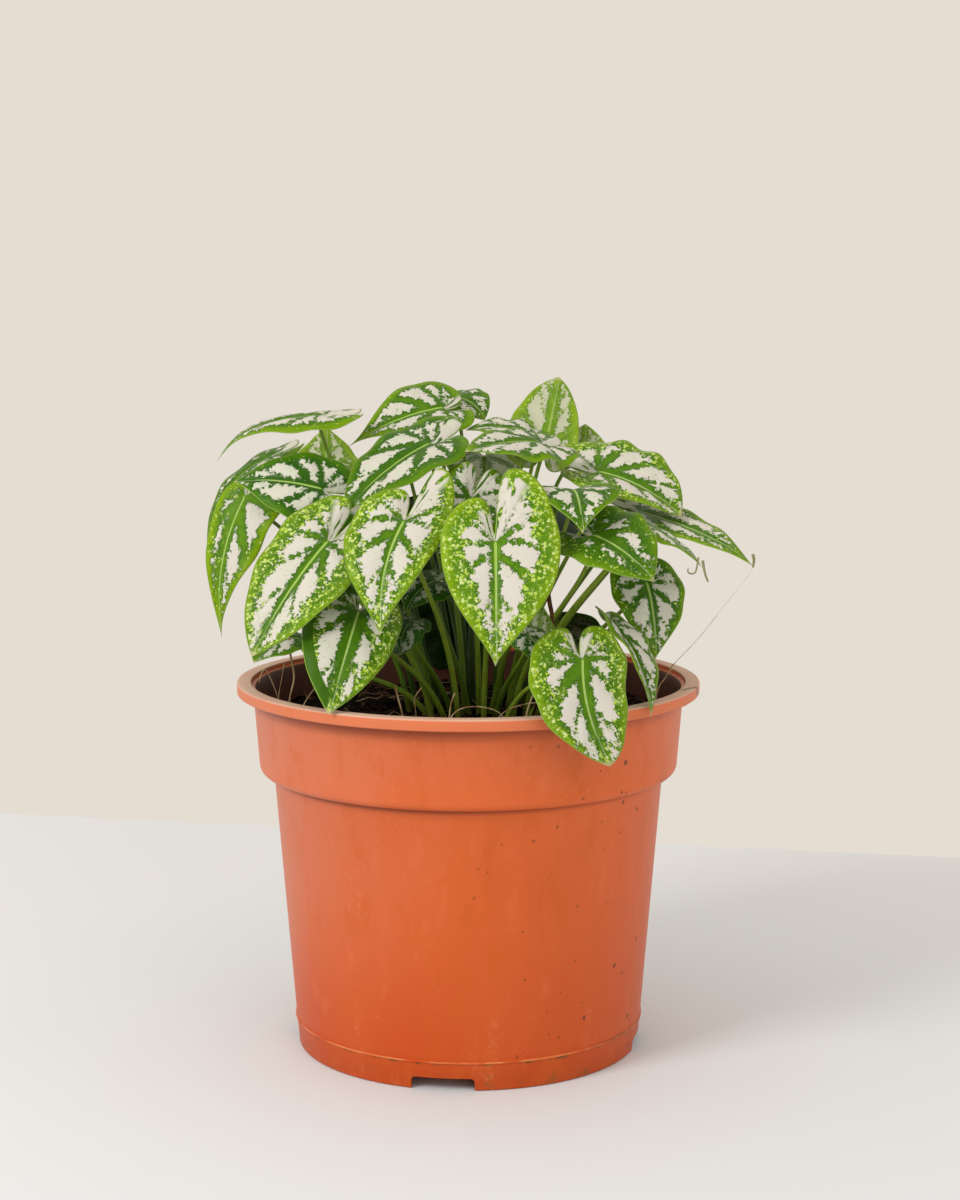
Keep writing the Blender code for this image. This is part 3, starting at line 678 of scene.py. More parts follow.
def arc(centre, radius, start, end, steps):
    """Points of a round stretch of a profile, angles in degrees."""
    points = []
    for i in range(steps + 1):
        angle = math.radians(start + (end - start) * i / steps)
        points.append((centre[0] + radius * math.cos(angle), centre[1] + radius * math.sin(angle)))
    return points


def bezier(points, steps):
    """Evenly stepped points of a cubic curve, its end point left out."""
    first, second, third, last = np.array(points, float)
    share = np.arange(steps)[:, None] / steps
    rest = 1 - share
    return (
        rest ** 3 * first
        + 3 * rest ** 2 * share * second
        + 3 * rest * share ** 2 * third
        + share ** 3 * last
    )


def smooth_line(points, steps):
    """A rounded line through the given points, with even steps between them."""
    knots = np.array(points, float)
    padded = np.vstack([2 * knots[0] - knots[1], knots, 2 * knots[-1] - knots[-2]])
    line = []
    for i in range(len(knots) - 1):
        a, b, c, d = padded[i:i + 4]
        for k in range(steps):
            t = k / steps
            line.append(0.5 * (2 * b + (c - a) * t + (2 * a - 5 * b + 4 * c - d) * t ** 2
                               + (3 * b - a - 3 * c + d) * t ** 3))
    line.append(knots[-1])
    return np.array(line)


def tube(points, radii, sides, first=0):
    """Points and faces of a closed round tube along a line of points."""
    vertices, faces = [], []
    side = unit(np.cross(points[1] - points[0], TUBE_GUIDE))
    for i, centre in enumerate(points):
        down = unit(points[min(i + 1, len(points) - 1)] - points[max(i - 1, 0)])
        side = unit(side - down * (side @ down))
        other = np.cross(down, side)
        for k in range(sides):
            angle = TURN * k / sides
            vertices.append(centre + radii[i] * (math.cos(angle) * side + math.sin(angle) * other))
    for i in range(len(points) - 1):
        faces += ring_faces(first + i * sides, first + (i + 1) * sides, sides)
    last = first + (len(points) - 1) * sides
    faces.append(tuple(reversed(range(first, first + sides))))
    faces.append(tuple(range(last, last + sides)))
    return vertices, faces


def soil_height(x, y):
    """The soil's level before its crumbs are added."""
    share = math.hypot(x, y) / COLLAR_TOP_RADIUS
    return SOIL_EDGE_HEIGHT + SOIL_MOUND * (1 - share ** 2)


def soil_surface(x, y):
    """The soil's level with its clods, crumbs and grit."""
    relief = 0.0
    for size, shift, height in SOIL_RELIEF:
        relief += noise.noise(Vector((x, y, 0)) / size + Vector(shift)) * height
    return soil_height(x, y) + relief


def blade_frame(leaf):
    """The blade's length and its along, across and upper-side directions."""
    joint, tip = np.array(leaf.joint, float), np.array(leaf.tip, float)
    length = np.linalg.norm(tip - joint)
    along = (tip - joint) / length
    face = np.array(leaf.face, float)
    face = unit(face - along * (face @ along))
    return length, along, np.cross(along, face), face


def blade_points(leaf, across_mm, along_mm):
    """The blade's middle surface at flat positions measured from the joint."""
    length, along, across, face = blade_frame(leaf)
    share = along_mm / length
    ahead = np.clip(share, 0, 1)
    behind = np.minimum(share, 0)
    spread = across_mm / (leaf.width / 2)
    rise = 4 * leaf.arch * (ahead * (1 - ahead) + behind) - leaf.hook * ahead ** 4
    ripple = np.sin(TURN * BLADE_WAVES * share + np.sign(across_mm) + leaf.joint[0])
    fold = math.radians(leaf.fold)
    out = across_mm * math.cos(fold) + 4 * leaf.bow * (ahead * (1 - ahead) + behind / 2)
    up = np.abs(across_mm) * math.sin(fold) + spread ** 2 * (leaf.wave * ripple - leaf.cup)
    return (
        np.array(leaf.joint, float)
        + np.multiply.outer(along_mm, along)
        + np.multiply.outer(out, across)
        + np.multiply.outer(up + rise, face)
    )


def blade_normals(leaf, flat):
    """Directions square to the blade on its upper side, at flat positions."""
    across, along = flat[:, 0], flat[:, 1]
    further = blade_points(leaf, across, along + NORMAL_STEP)
    nearer = blade_points(leaf, across, along - NORMAL_STEP)
    right = blade_points(leaf, across + NORMAL_STEP, along)
    left = blade_points(leaf, across - NORMAL_STEP, along)
    normals = np.cross(right - left, further - nearer)
    return normals / np.linalg.norm(normals, axis=1)[:, None]


def blade_outline(leaf):
    """The margin from the tip round to the tip again, as flat millimetres."""
    length = blade_frame(leaf)[0]
    tip_curve = (1 - leaf.blunt) * np.array(POINTED_TIP) + leaf.blunt * np.array(ROUND_TIP)
    half = np.vstack([
        bezier(tip_curve, TIP_STEPS),
        bezier(SIDE_CURVE, SIDE_STEPS),
        bezier(SINUS_CURVE, SINUS_STEPS),
        [SINUS_CURVE[-1]],
    ])
    right, left = (
        np.column_stack([
            side * (1 + side * leaf.uneven) * half[:, 0] * leaf.width / 2,
            np.where(half[:, 1] > 0, 1, leaf.lobe * (1 + side * leaf.skew)) * half[:, 1] * length,
        ])
        for side in (1, -1)
    )
    return np.vstack([right, left[-2:0:-1]])


def to_segments(points, starts, ends):
    """For each point, the distance to the nearest straight piece, its index and the share along it."""
    step = ends - starts
    size = np.maximum((step ** 2).sum(1), TINY)
    offset = points[:, None, :] - starts[None]
    share = np.clip((offset * step[None]).sum(2) / size, 0, 1)
    gap = np.linalg.norm(offset - share[..., None] * step[None], axis=2)
    nearest = gap.argmin(1)
    rows = np.arange(len(points))
    return gap[rows, nearest], nearest, share[rows, nearest]


def run_length(starts, ends, nearest, share):
    """How far along a chain of straight pieces each point's nearest place lies."""
    lengths = np.linalg.norm(ends - starts, axis=1)
    before = np.concatenate([[0], np.cumsum(lengths)[:-1]])
    return before[nearest] + share * lengths[nearest]


def inside(points, outline):
    """Which points lie inside a closed outline."""
    x, y = points[:, 0:1], points[:, 1:2]
    ax, ay = outline[:, 0], outline[:, 1]
    bx, by = np.roll(ax, -1), np.roll(ay, -1)
    crosses = (ay > y) != (by > y)
    rise = np.where(by == ay, TINY, by - ay)
    left = x < (bx - ax) * (y - ay) / rise + ax
    return (crosses & left).sum(1) % 2 == 1


def blade_sheet(leaf):
    """The flat blade as points and triangles, and the indices of its margin."""
    outline = blade_outline(leaf)
    half_count = math.ceil(leaf.width / GRID)
    low, high = outline[:, 1].min(), outline[:, 1].max()
    rows = np.arange(math.ceil((high - low) / GRID) + 1) * GRID + low
    grid = np.array([
        (index * GRID * GRID_COLUMN, row + (GRID / 2 if index % 2 else 0))
        for index in range(-half_count, half_count + 1)
        for row in rows
    ])
    grid = grid[inside(grid, outline)]
    gap = to_segments(grid, outline, np.roll(outline, -1, axis=0))[0]
    points = np.vstack([outline, grid[gap > GRID * GRID_CLEAR]])
    margin = list(range(len(outline)))
    spots = [Vector(point) for point in points]
    flat, _, faces, kept, _, _ = delaunay_2d_cdt(spots, [], [margin], 1, MERGE_DISTANCE)
    flat = np.array([tuple(point) for point in flat])
    origin = {first: index for index, sources in enumerate(kept) for first in sources}
    return flat, [tuple(face) for face in faces], [origin[i] for i in margin]


def blade_veins(leaf, draw, green):
    """The side veins of both halves as straight pieces. Each has its green band's half width."""
    length = blade_frame(leaf)[0]
    starts, ends, bands = [], [], []
    for side in (-1, 1):
        for vein in VEINS:
            begin = vein.start + draw.uniform(-VEIN_JITTER, VEIN_JITTER) * (vein.start > 0)
            bend = np.array(vein.bend) + draw.uniform(-VEIN_JITTER, VEIN_JITTER, 2)
            end = np.array(vein.end) + draw.uniform(-VEIN_JITTER, VEIN_JITTER, 2)
            knots = np.array([(0, begin), bend, end])
            knots[:, 1] = np.where(knots[:, 1] > 0, knots[:, 1], knots[:, 1] * leaf.lobe)
            knots *= (side * leaf.width / 2, length)
            share = np.linspace(0, 1, VEIN_STEPS + 1)[:, None]
            line = (1 - share) ** 2 * knots[0] + 2 * share * (1 - share) * knots[1] + share ** 2 * knots[2]
            starts.append(line[:-1])
            ends.append(line[1:])
            along = share[:-1, 0]
            width = vein.band * green * draw.uniform(*BAND_SPREAD) * leaf.width / MARKED_WIDTH
            wedge = WEDGE * np.clip(along - WEDGE_START, 0, 1)
            bands.append(width * (BAND_START - BAND_TAPER * along + wedge))
    return np.vstack(starts), np.vstack(ends), np.concatenate(bands)


def blade_marks(leaf, draw, pattern, flat, margin):
    """Distances over the blade that its markings and its relief follow."""
    length = blade_frame(leaf)[0]
    size = leaf.width / MARKED_WIDTH
    across, along = flat.T
    outline = flat[margin]
    following = np.roll(outline, -1, axis=0)
    to_margin = to_segments(flat, outline, following)[0]
    outer = (np.abs(outline[:, 0]) > leaf.width * SINUS_HALF) | (outline[:, 1] > 0)
    to_outer, nearest, share = to_segments(flat, outline[outer], following[outer])
    margin_run = run_length(outline[outer], following[outer], nearest, share)
    starts, ends, bands = blade_veins(leaf, draw, pattern.green)
    to_vein, nearest, share = to_segments(flat, starts, ends)
    vein_run = run_length(starts, ends, nearest, share) + VEIN_APART * (nearest // VEIN_STEPS)
    ahead = np.clip(along / length, 0, 1)
    to_midrib = np.hypot(across, np.maximum(-along, 0))
    side_band = to_vein - bands[nearest]
    middle_band = to_midrib - MIDRIB_BAND * size * pattern.green * (MIDRIB_START - MIDRIB_TAPER * ahead)
    line_width = MIDRIB_LINE * size * np.sqrt(np.clip(MIDRIB_END - ahead, 0, 1))
    on_midrib = middle_band < side_band
    return SimpleNamespace(
        across=across,
        along=along,
        to_margin=to_margin,
        to_outer=to_outer,
        margin_run=margin_run,
        turn=np.arctan2(across, -along),
        from_joint=np.hypot(across, along),
        to_vein=to_vein,
        run=np.where(on_midrib, along + HALVES_APART * np.sign(across), vein_run),
        away=np.where(on_midrib, to_midrib, to_vein),
        band=np.minimum(side_band, middle_band),
        to_midrib=to_midrib,
        line=to_midrib - line_width + PAST_MIDRIB * (ahead > MIDRIB_END),
        ahead=ahead,
    )


def crease(distance, width):
    """1 on a line, falling smoothly to 0 at some widths from it."""
    return np.exp(-(distance / width) ** 2)


def blade_surfaces(leaf, flat, marks):
    """The upper and under side, with panels that swell between the veins."""
    size = leaf.width / MARKED_WIDTH
    fade = np.clip(marks.to_margin / RELIEF_FADE, 0, 1)
    panel = 1 - crease(np.minimum(marks.to_vein, marks.to_midrib), QUILT_WIDTH)
    quilt = QUILT_HEIGHT * size * fade * panel
    behind = np.clip(-flat[:, 1] / SINUS_DIP_LENGTH, 0, 1)
    quilt -= SINUS_DIP * size * behind * crease(flat[:, 0], SINUS_DIP_WIDTH)
    at_midrib, at_vein = crease(marks.to_midrib, GROOVE_WIDTH), crease(marks.to_vein, GROOVE_WIDTH)
    groove = GROOVE_DEPTH * (at_midrib + SIDE_GROOVE * at_vein)
    keel = KEEL_HEIGHT * size * fade * (1 - KEEL_TAPER * marks.ahead) * crease(marks.to_midrib, KEEL_WIDTH)
    keel += SIDE_KEEL * KEEL_HEIGHT * size * fade * crease(marks.to_vein, KEEL_WIDTH)
    half = BLADE_THICKNESS / 2 * np.clip(EDGE_SHARE + marks.to_margin / EDGE_WIDTH, 0, 1)
    middle = blade_points(leaf, flat[:, 0], flat[:, 1])
    normals = blade_normals(leaf, flat)
    upper = middle + normals * (quilt + half - groove * fade)[:, None]
    under = middle + normals * (quilt - half - keel)[:, None]
    return upper, under


def stalk_foot(leaf):
    """Where the stalk leaves the soil, in millimetres."""
    x, y = (
        centre + (at - centre) * CROWN_SHARE + nudge
        for centre, at, nudge in zip(CROWN, leaf.joint, leaf.foot)
    )
    return np.array((x, y, soil_height(x, y)))


def stalk_curve(leaf):
    """Points down the stalk from the joint into the soil."""
    face = blade_normals(leaf, np.zeros((1, 2)))[0]
    joint = np.array(leaf.joint, float)
    top = joint - face * STALK_DROP
    foot = stalk_foot(leaf)
    reach = np.linalg.norm(top - foot)
    lean = (top - foot) / reach
    spread = np.interp(top[2] - foot[2], (STALK_LOW, STALK_TALL), (STALK_LEAN_LOW, STALK_LEAN_TALL))
    start = unit(lean * (spread, spread, 0) + (0, 0, 1))
    arrive = unit(face + lean)
    below_top = top - arrive * reach * STALK_TOP_REACH
    above_foot = foot + start * reach * STALK_FOOT_REACH
    in_blade = joint - face * BLADE_THICKNESS / 2
    above_soil = bezier((top, below_top, above_foot, foot), STALK_STEPS)
    return np.vstack([[in_blade], above_soil, [foot, foot - start * STALK_FOOT_DEPTH]])


def leaf_pattern(leaf, draw):
    """How a leaf is marked. The ones at the back are plainer and darker, partly as painted shade."""
    if leaf.name in PATTERNS:
        return PATTERNS[leaf.name]
    return Pattern(dark=draw.uniform(*BACK_DARK), green=BACK_GREEN)


def keep_fields(mesh, leaf, seed, pattern, marks, stalk):
    """Keep on the mesh what its colours follow: for the upper side, the under side and the stalk."""
    under_dark = IN_GLOOM.get(leaf.name, pattern.dark)
    stalk_dark = IN_GLOOM.get(leaf.name, min(pattern.dark, 1))
    # painted shade on the stalk, from its leaf and from how far back its foot stands
    shade = max(stalk_dark, np.interp(stalk[-1, 1], SHADY_STALKS, STALK_SHADES))
    stalk_share = np.repeat(np.linspace(0, 1, len(stalk)), STALK_SIDES)
    stalk_values = columns(stalk_share, seed, shade)
    full = np.ones(len(marks.across))
    marks.seed = seed
    marks.zone = pattern.margin * leaf.width / MARKED_WIDTH
    marks.strip = full * pattern.strip
    marks.speckles = full * pattern.speckles
    upper = SimpleNamespace(**vars(marks), upper=1, dark=pattern.dark)
    under = SimpleNamespace(**vars(marks), upper=0, dark=under_dark)
    for name, parts in FIELDS.items():
        sides = [columns(*[getattr(side, part) for part in parts]) for side in (upper, under)]
        set_vectors(mesh, name, np.vstack([*sides, stalk_values]))


def make_leaf(index, leaf, blade_material, stalk_material):
    """A fine blade grown together with its stalk."""
    draw = np.random.default_rng(SEED + index)
    pattern = leaf_pattern(leaf, draw)
    flat, triangles, margin = blade_sheet(leaf)
    marks = blade_marks(leaf, draw, pattern, flat, margin)
    upper, under = blade_surfaces(leaf, flat, marks)
    stalk = stalk_curve(leaf)
    share = np.linspace(0, 1, len(stalk))
    radii = STALK_TOP_RADIUS + (STALK_FOOT_RADIUS - STALK_TOP_RADIUS) * share ** STALK_TAPER
    radii[:2] *= STALK_FLARE
    count = len(flat)
    stalk_points, stalk_faces = tube(stalk, radii, STALK_SIDES, 2 * count)
    faces = triangles + [tuple(count + i for i in reversed(t)) for t in triangles]
    for here, there in zip(margin, margin[1:] + margin[:1]):
        faces.append((here, there, count + there, count + here))
    node = "leaf_" + leaf.name
    points = np.vstack([upper, under, stalk_points])
    piece = add_object(node + "_fine", points, faces + stalk_faces, blade_material)
    piece.data.materials.append(stalk_material)
    for polygon in piece.data.polygons[len(faces):]:
        polygon.material_index = 1
    outward(piece)
    keep_fields(piece.data, leaf, PATTERN_APART * index, pattern, marks, stalk)
    carry(piece, "leaf", node)


def blade_fields(s):
    """What the blade's colours follow: the numbers kept on the mesh, and noise from broad to tiny."""
    at = SimpleNamespace()
    for name, parts in FIELDS.items():
        for part, value in zip(parts, s.attribute(name)):
            setattr(at, part, value)
    at.place = s.join(at.across, at.along, at.seed)
    at.broad = s.noise(at.place, 0.22, 2.0)
    at.middling = s.noise(at.place, 0.5, 1.0)
    at.fine = s.noise(at.place, 1.2, 3.0, 0.6)
    at.tiny = s.noise(at.place, 3.0, 2.0)
    return at


def blade_patches(s, at):
    """Where the blade is pale, and the dark rim of its green beside that."""
    teeth = s.noise(s.join(at.run * 0.62, at.away * 0.35, at.seed), 1.0, 2.0)
    ragged = teeth * 3.8 + at.fine * 2.4 + at.tiny * 1.8 + at.middling * 2.2 + at.broad * 2.4
    at.inner = at.to_outer - at.zone * at.ahead.step(1.08, 0.3) * (1.0 + at.broad * 1.2)
    margin_teeth = s.noise(s.join(at.margin_run * 0.5, at.inner * 0.3, at.seed), 1.0, 2.0)
    ragged_margin = margin_teeth * 6.0 + at.fine * 2.4 + at.tiny * 1.8 + at.middling * 2.6
    past_band = at.band + ragged
    past_margin = at.inner + ragged_margin
    at.rim = past_band.step(-1.3, 0.0) * past_margin.step(-1.3, 0.0)
    holes = s.noise(at.place, 0.8, 3.0, 0.6).step(0.16, 0.21)
    patch = past_band.step(0.15, 0.45) * past_margin.step(0.15, 0.45) * (1.0 - holes * 0.85)
    behind_joint = abs(at.turn).step(0.6, 0.4) * at.from_joint.step(0.6, 1.6)
    streak = s.noise(s.join(at.turn * 5.5, at.from_joint * 0.12, at.seed), 1.0, 1.0)
    streaks = streak.step(0.12, 0.05) * at.inner.step(-4.5, -3.0)
    at.patch = patch * (1.0 - behind_joint) + streaks * behind_joint


def blade_specks(s, at):
    """Large and small specks in the green, thickest near the margin."""
    warped = s.join(at.across + at.fine * 1.8, at.along + s.noise(at.place, 1.6, 2.0) * 1.8, at.seed)
    limit = at.speckles * 0.39 + s.noise(at.place, 0.45, 1.0) * 0.8
    large = (limit - s.spots(warped, 0.7)).step(-0.02, 0.10)
    small = (limit - s.spots(warped, 1.5)).step(0.04, 0.14)
    speck = s.math("MAXIMUM", large, small * 0.8)
    return speck * at.to_margin.step(0.4, 0.9) * at.inner.step(7.0, 0.4) * (1.0 - at.patch)


def blade_upper_colour(s, at):
    """Pale patches with faint veinlets, specks in the green, a pale midrib line and margin, a dry tip."""
    tone = LeafColour
    toward_edge = at.to_outer.step(4.5, 0.6)
    bright = s.mix(toward_edge, tone.bright, tone.bright_edge)
    deep = s.mix(toward_edge, tone.deep, tone.deep_edge)
    # darker and greener where dark is high: partly the leaf's own tone, partly painted shade
    green = s.mix(at.dark + at.broad * 0.6 + at.fine * 0.5, bright, deep)
    green = green.tint(tone.rim, at.rim * 0.6)
    pale = s.mix(at.dark * 0.6 + at.broad * 1.6, tone.pale, tone.pale_green)
    veinlet = s.web(at.place, 0.42).step(0.03, 0.01) * at.broad.step(0.04, 0.12)
    pale = pale.tint(tone.veinlet, veinlet * 0.35)
    colour = s.mix(at.patch, green, pale)
    speck_colour = s.mix(s.noise(at.place, 0.8, 1.0).step(-0.1, 0.15), tone.speck, tone.speck_pale)
    colour = colour.tint(speck_colour, blade_specks(s, at) * 0.9)
    in_strip = at.to_outer.step(at.strip, at.strip * 0.9) * at.across.step(0.5, 1.5)
    in_strip = in_strip * at.strip.step(0.1, 0.5)
    colour = colour.tint(s.mix(at.broad + 0.5, tone.strip, tone.strip_light), in_strip)
    colour = colour.tint(tone.midrib, at.line.step(0.12, -0.10) * 0.85)
    colour = colour.tint(tone.margin, at.to_margin.step(0.42, 0.12))
    return colour.tint(tone.dry_tip, at.ahead.step(0.94, 0.995) * 0.8)


def blade_look():
    """Pale patches between toothed green veins, duller on the under side with some painted light shining
    through, and painted shade on the leaves that stand in the shade.
    """
    s = Shader("caladium blade", 0.45, shine=0.12)
    at = blade_fields(s)
    blade_patches(s, at)
    upper = blade_upper_colour(s, at)
    # the under side's own paler green, partly painted light shining through the blade
    under = upper.tint(LeafColour.under, 0.3)
    under = under.tint(LeafColour.under_vein, at.to_vein.step(0.5, 0.1) * 0.5)
    colour = s.mix(at.upper, under, upper)
    # painted shade: gloom on the inner and back leaves, heavier on the under side
    colour = colour.tint(LeafColour.gloom, at.dark.step(1.0, GLOOM) * (0.95 - at.upper * 0.25))
    grain = s.noise(at.place, 4.0, 2.0)
    s.bump(at.fine * 0.3 + grain * 0.25, 0.35, 0.25)
    return s.finish(colour, at.patch * 0.08 + 0.42 + grain * 0.15)


def stalk_look():
    """Green stalks, yellower towards the foot, with faint lengthwise streaks and painted shade, darkest low
    down at the back.
    """
    s = Shader("caladium stalk", 0.4, shine=0.2)
    tone = LeafColour
    share, _, dark = s.attribute("leaf_place")
    streak = s.noise(s.place((1.6, 1.6, 0.12)), 1.0, 2.0)
    top = s.mix(dark + streak * 0.7, tone.stalk, tone.stalk_dark)
    foot = s.mix(dark + streak, tone.foot, tone.foot_dark)
    colour = s.mix(share.step(0.4, 1.0), top, foot)
    colour = colour.tint(tone.sheath, share.step(0.86, 1.0) * 0.6)
    # painted shade low down on the stalks at the back
    colour = colour.tint(tone.stalk_gloom, dark.step(0.8, GLOOM) * share.step(0.2, 0.6) * 0.85)
    s.bump(streak, 0.3, 0.15)
    return s.finish(colour, streak * 0.2 + 0.4)


def pot_profile():
    """The pot's section as radius and height, all the way round, with its corners eased."""
    foot_inside = FOOT_RADIUS - WALL
    ridge = BODY_FOOT_RADIUS + RIDGE_PROUD
    collar_corner = (COLLAR_FOOT_RADIUS - COLLAR_ROUND, COLLAR_FOOT_HEIGHT + COLLAR_ROUND)
    return [
        (CENTRE_HOLE_RADIUS, FLOOR_TOP),
        (CENTRE_HOLE_RADIUS, FLOOR_UNDERSIDE),
        (foot_inside, FLOOR_UNDERSIDE),
        (foot_inside, FOOT_INNER_EASE),
        (foot_inside + FOOT_INNER_EASE, 0.0),
        (FOOT_RADIUS - FOOT_EASE, 0.0),
        (FOOT_RADIUS, FOOT_EASE),
        (BODY_FOOT_RADIUS - 0.05, RIDGE_HEIGHT - RIDGE_PROUD),
        (ridge, RIDGE_HEIGHT - RIDGE_CREST),
        (ridge, RIDGE_HEIGHT + RIDGE_CREST),
        (BODY_FOOT_RADIUS + 0.05, RIDGE_HEIGHT + RIDGE_PROUD),
        (BODY_TOP_RADIUS - 0.1, COLLAR_FOOT_HEIGHT - CORNER_EASE),
        (BODY_TOP_RADIUS + 0.5, COLLAR_FOOT_HEIGHT),
        *arc(collar_corner, COLLAR_ROUND, -90, 0, 7),
        (COLLAR_TOP_RADIUS, LIP_LINE - CORNER_EASE),
        (COLLAR_TOP_RADIUS + 0.6, LIP_LINE),
        *arc((RIM_RADIUS - LIP_ROUND, LIP_LINE + LIP_ROUND), LIP_ROUND, -90, 0, 4),
        *arc((RIM_RADIUS - LIP_ROUND, POT_HEIGHT - LIP_ROUND), LIP_ROUND, 0, 90, 4),
        *arc((RIM_OPENING + LIP_ROUND / 2, POT_HEIGHT - LIP_ROUND / 2), LIP_ROUND / 2, 90, 180, 3),
        (RIM_OPENING, POT_HEIGHT - STEP_DEPTH),
        (RIM_OPENING - STEP_WIDTH, POT_HEIGHT - STEP_DEPTH - 0.1),
        (COLLAR_TOP_RADIUS - WALL, LIP_LINE),
        (COLLAR_FOOT_RADIUS - WALL, COLLAR_FOOT_HEIGHT + COLLAR_ROUND),
        (BODY_TOP_RADIUS - WALL, COLLAR_FOOT_HEIGHT),
        (BODY_FOOT_RADIUS - WALL, FLOOR_TOP),
    ]


def notch_cutter():
    """Low blocks with rounded upper corners, set across the foot ring."""
    half = NOTCH_WIDTH / 2
    corner = (half - NOTCH_ROUND, NOTCH_HEIGHT - NOTCH_ROUND)
    outline = [(half, -CUT_BEYOND), *arc(corner, NOTCH_ROUND, 0, 90, 5)]
    outline += [(-x, z) for x, z in reversed(outline)]
    vertices, faces = [], []
    for i in range(NOTCHES):
        turn = math.radians(FIRST_NOTCH_TURN + 360 / NOTCHES * i - 90)
        out = np.array((math.cos(turn), math.sin(turn), 0))
        side = np.array((-math.sin(turn), math.cos(turn), 0))
        near, far = (
            [out * reach + side * x + (0, 0, z) for x, z in outline]
            for reach in (FOOT_RADIUS - NOTCH_REACH, FOOT_RADIUS + NOTCH_REACH)
        )
        add_prism(vertices, faces, near, far)
    return add_object("notch_cutter", vertices, faces, None)


def drain_cutter():
    """Round drainage holes on a ring in the floor."""
    vertices, faces = [], []
    for i in range(DRAIN_HOLES):
        turn = TURN * (i + 0.5) / DRAIN_HOLES
        centre = (math.cos(turn) * DRAIN_HOLE_RING, math.sin(turn) * DRAIN_HOLE_RING)
        circle = arc(centre, DRAIN_HOLE_RADIUS, 0, 360, DRAIN_HOLE_SIDES)[:-1]
        low, high = (
            [(x, y, height) for x, y in circle]
            for height in (FLOOR_UNDERSIDE - CUT_BEYOND, FLOOR_TOP + CUT_BEYOND)
        )
        add_prism(vertices, faces, low, high)
    return add_object("drain_cutter", vertices, faces, None)


def cut_out(piece, cutters):
    """Cut shapes out of a piece for good."""
    for cutter in cutters:
        outward(cutter)
        modifier = piece.modifiers.new(cutter.name, "BOOLEAN")
        modifier.operation = "DIFFERENCE"
        modifier.solver = "EXACT"
        modifier.object = cutter
    graph = bpy.context.evaluated_depsgraph_get()
    mesh = bpy.data.meshes.new_from_object(piece.evaluated_get(graph))
    piece.modifiers.clear()
    piece.data = mesh
    for cutter in cutters:
        bpy.data.objects.remove(cutter)


def make_pot():
    """The pot, its profile turned round its axis, then notched and drilled."""
    profile = pot_profile()
    vertices, faces = [], []
    for radius, height in profile:
        for i in range(POT_SIDES):
            angle = TURN * i / POT_SIDES
            vertices.append((radius * math.cos(angle), radius * math.sin(angle), height))
    for ring in range(len(profile)):
        faces += ring_faces(ring * POT_SIDES, (ring + 1) % len(profile) * POT_SIDES, POT_SIDES)
    pot = add_object("pot_fine", vertices, faces, pot_look())
    outward(pot)
    cut_out(pot, [notch_cutter(), drain_cutter()])
    pot.data.shade_smooth()
    pot.data.set_sharp_from_angle(angle=SHARP_ANGLE)
    carry(pot, "pot", "pot")


def pot_plastic(s, at):
    """The plastic itself: richer and darker towards the foot, with a painted sheen on the left and at the
    top, softly mottled.
    """
    tone = PotColour
    broad = s.noise(at.place, 0.018, 3.0)
    body = s.mix(at.z.step(0.0, 125.0, smooth=False), tone.low, tone.high)
    body = body.tint(tone.cloud, (broad + at.cloudy * 0.6).step(-0.25, 0.25))
    # painted sheen: paler on the left and at the top
    painted_sheen = (at.x + at.cloudy * 60.0).step(5.0, -75.0) + at.z.step(95.0, 125.0) * 0.35
    body = body.tint(tone.painted_sheen, painted_sheen * at.z.step(8.0, 80.0) * 0.7)
    body = body.tint(tone.rich, at.z.step(70.0, 5.0) * 0.45)
    body = body.tint(tone.foot, at.z.step(14.0, 3.0) * 0.5)
    mottle = s.noise(s.place((1.0, 1.0, 0.45)), 0.11, 5.0, 0.65)
    body = body.tint(tone.mottle, mottle.step(0.0, 0.22) * 0.5)
    return body.tint(tone.mottle_light, mottle.step(-0.05, -0.24) * 0.26)


def pot_wear(s, at, body):
    """Dust, scratches, and flecks of algae that are thicker on the right."""
    at.dust = (at.cloudy + s.noise(at.place, 0.5, 3.0) * 0.7).step(0.12, 0.45)
    body = body.tint(PotColour.dust, at.dust * 0.38)
    scratch = s.noise(s.place((0.15, 0.15, 2.4)), 1.0, 2.0)
    at.scuff = scratch.step(0.20, 0.26) * s.noise(at.place, 0.09, 1.0).step(0.05, 0.2)
    body = body.tint(PotColour.scuff, at.scuff * 0.35)
    grown = (at.x * 0.006 + s.noise(at.place, 0.02, 1.0) * 0.8).step(-0.05, 0.35)
    fleck = (s.spots(at.place, 0.17) - s.noise(at.place, 0.35, 1.0) * 0.5).step(0.10, 0.05)
    return body.tint(PotColour.algae, fleck * grown * 0.85)


def pot_painted_shade(at, body):
    """Painted shade under the lip and the collar, weaker on the right."""
    under_lip = at.z.step(LIP_LINE - 6.0, LIP_LINE - 0.2) * at.z.step(LIP_LINE + 0.3, LIP_LINE)
    under_collar = at.z.step(COLLAR_FOOT_HEIGHT - 2.6, COLLAR_FOOT_HEIGHT - 0.6)
    under_collar = under_collar * at.z.step(COLLAR_FOOT_HEIGHT + 0.2, COLLAR_FOOT_HEIGHT)
    strength = at.x.step(75.0, -30.0) * 0.4 + 0.4
    return body.tint(PotColour.corner, (under_lip + under_collar) * strength)


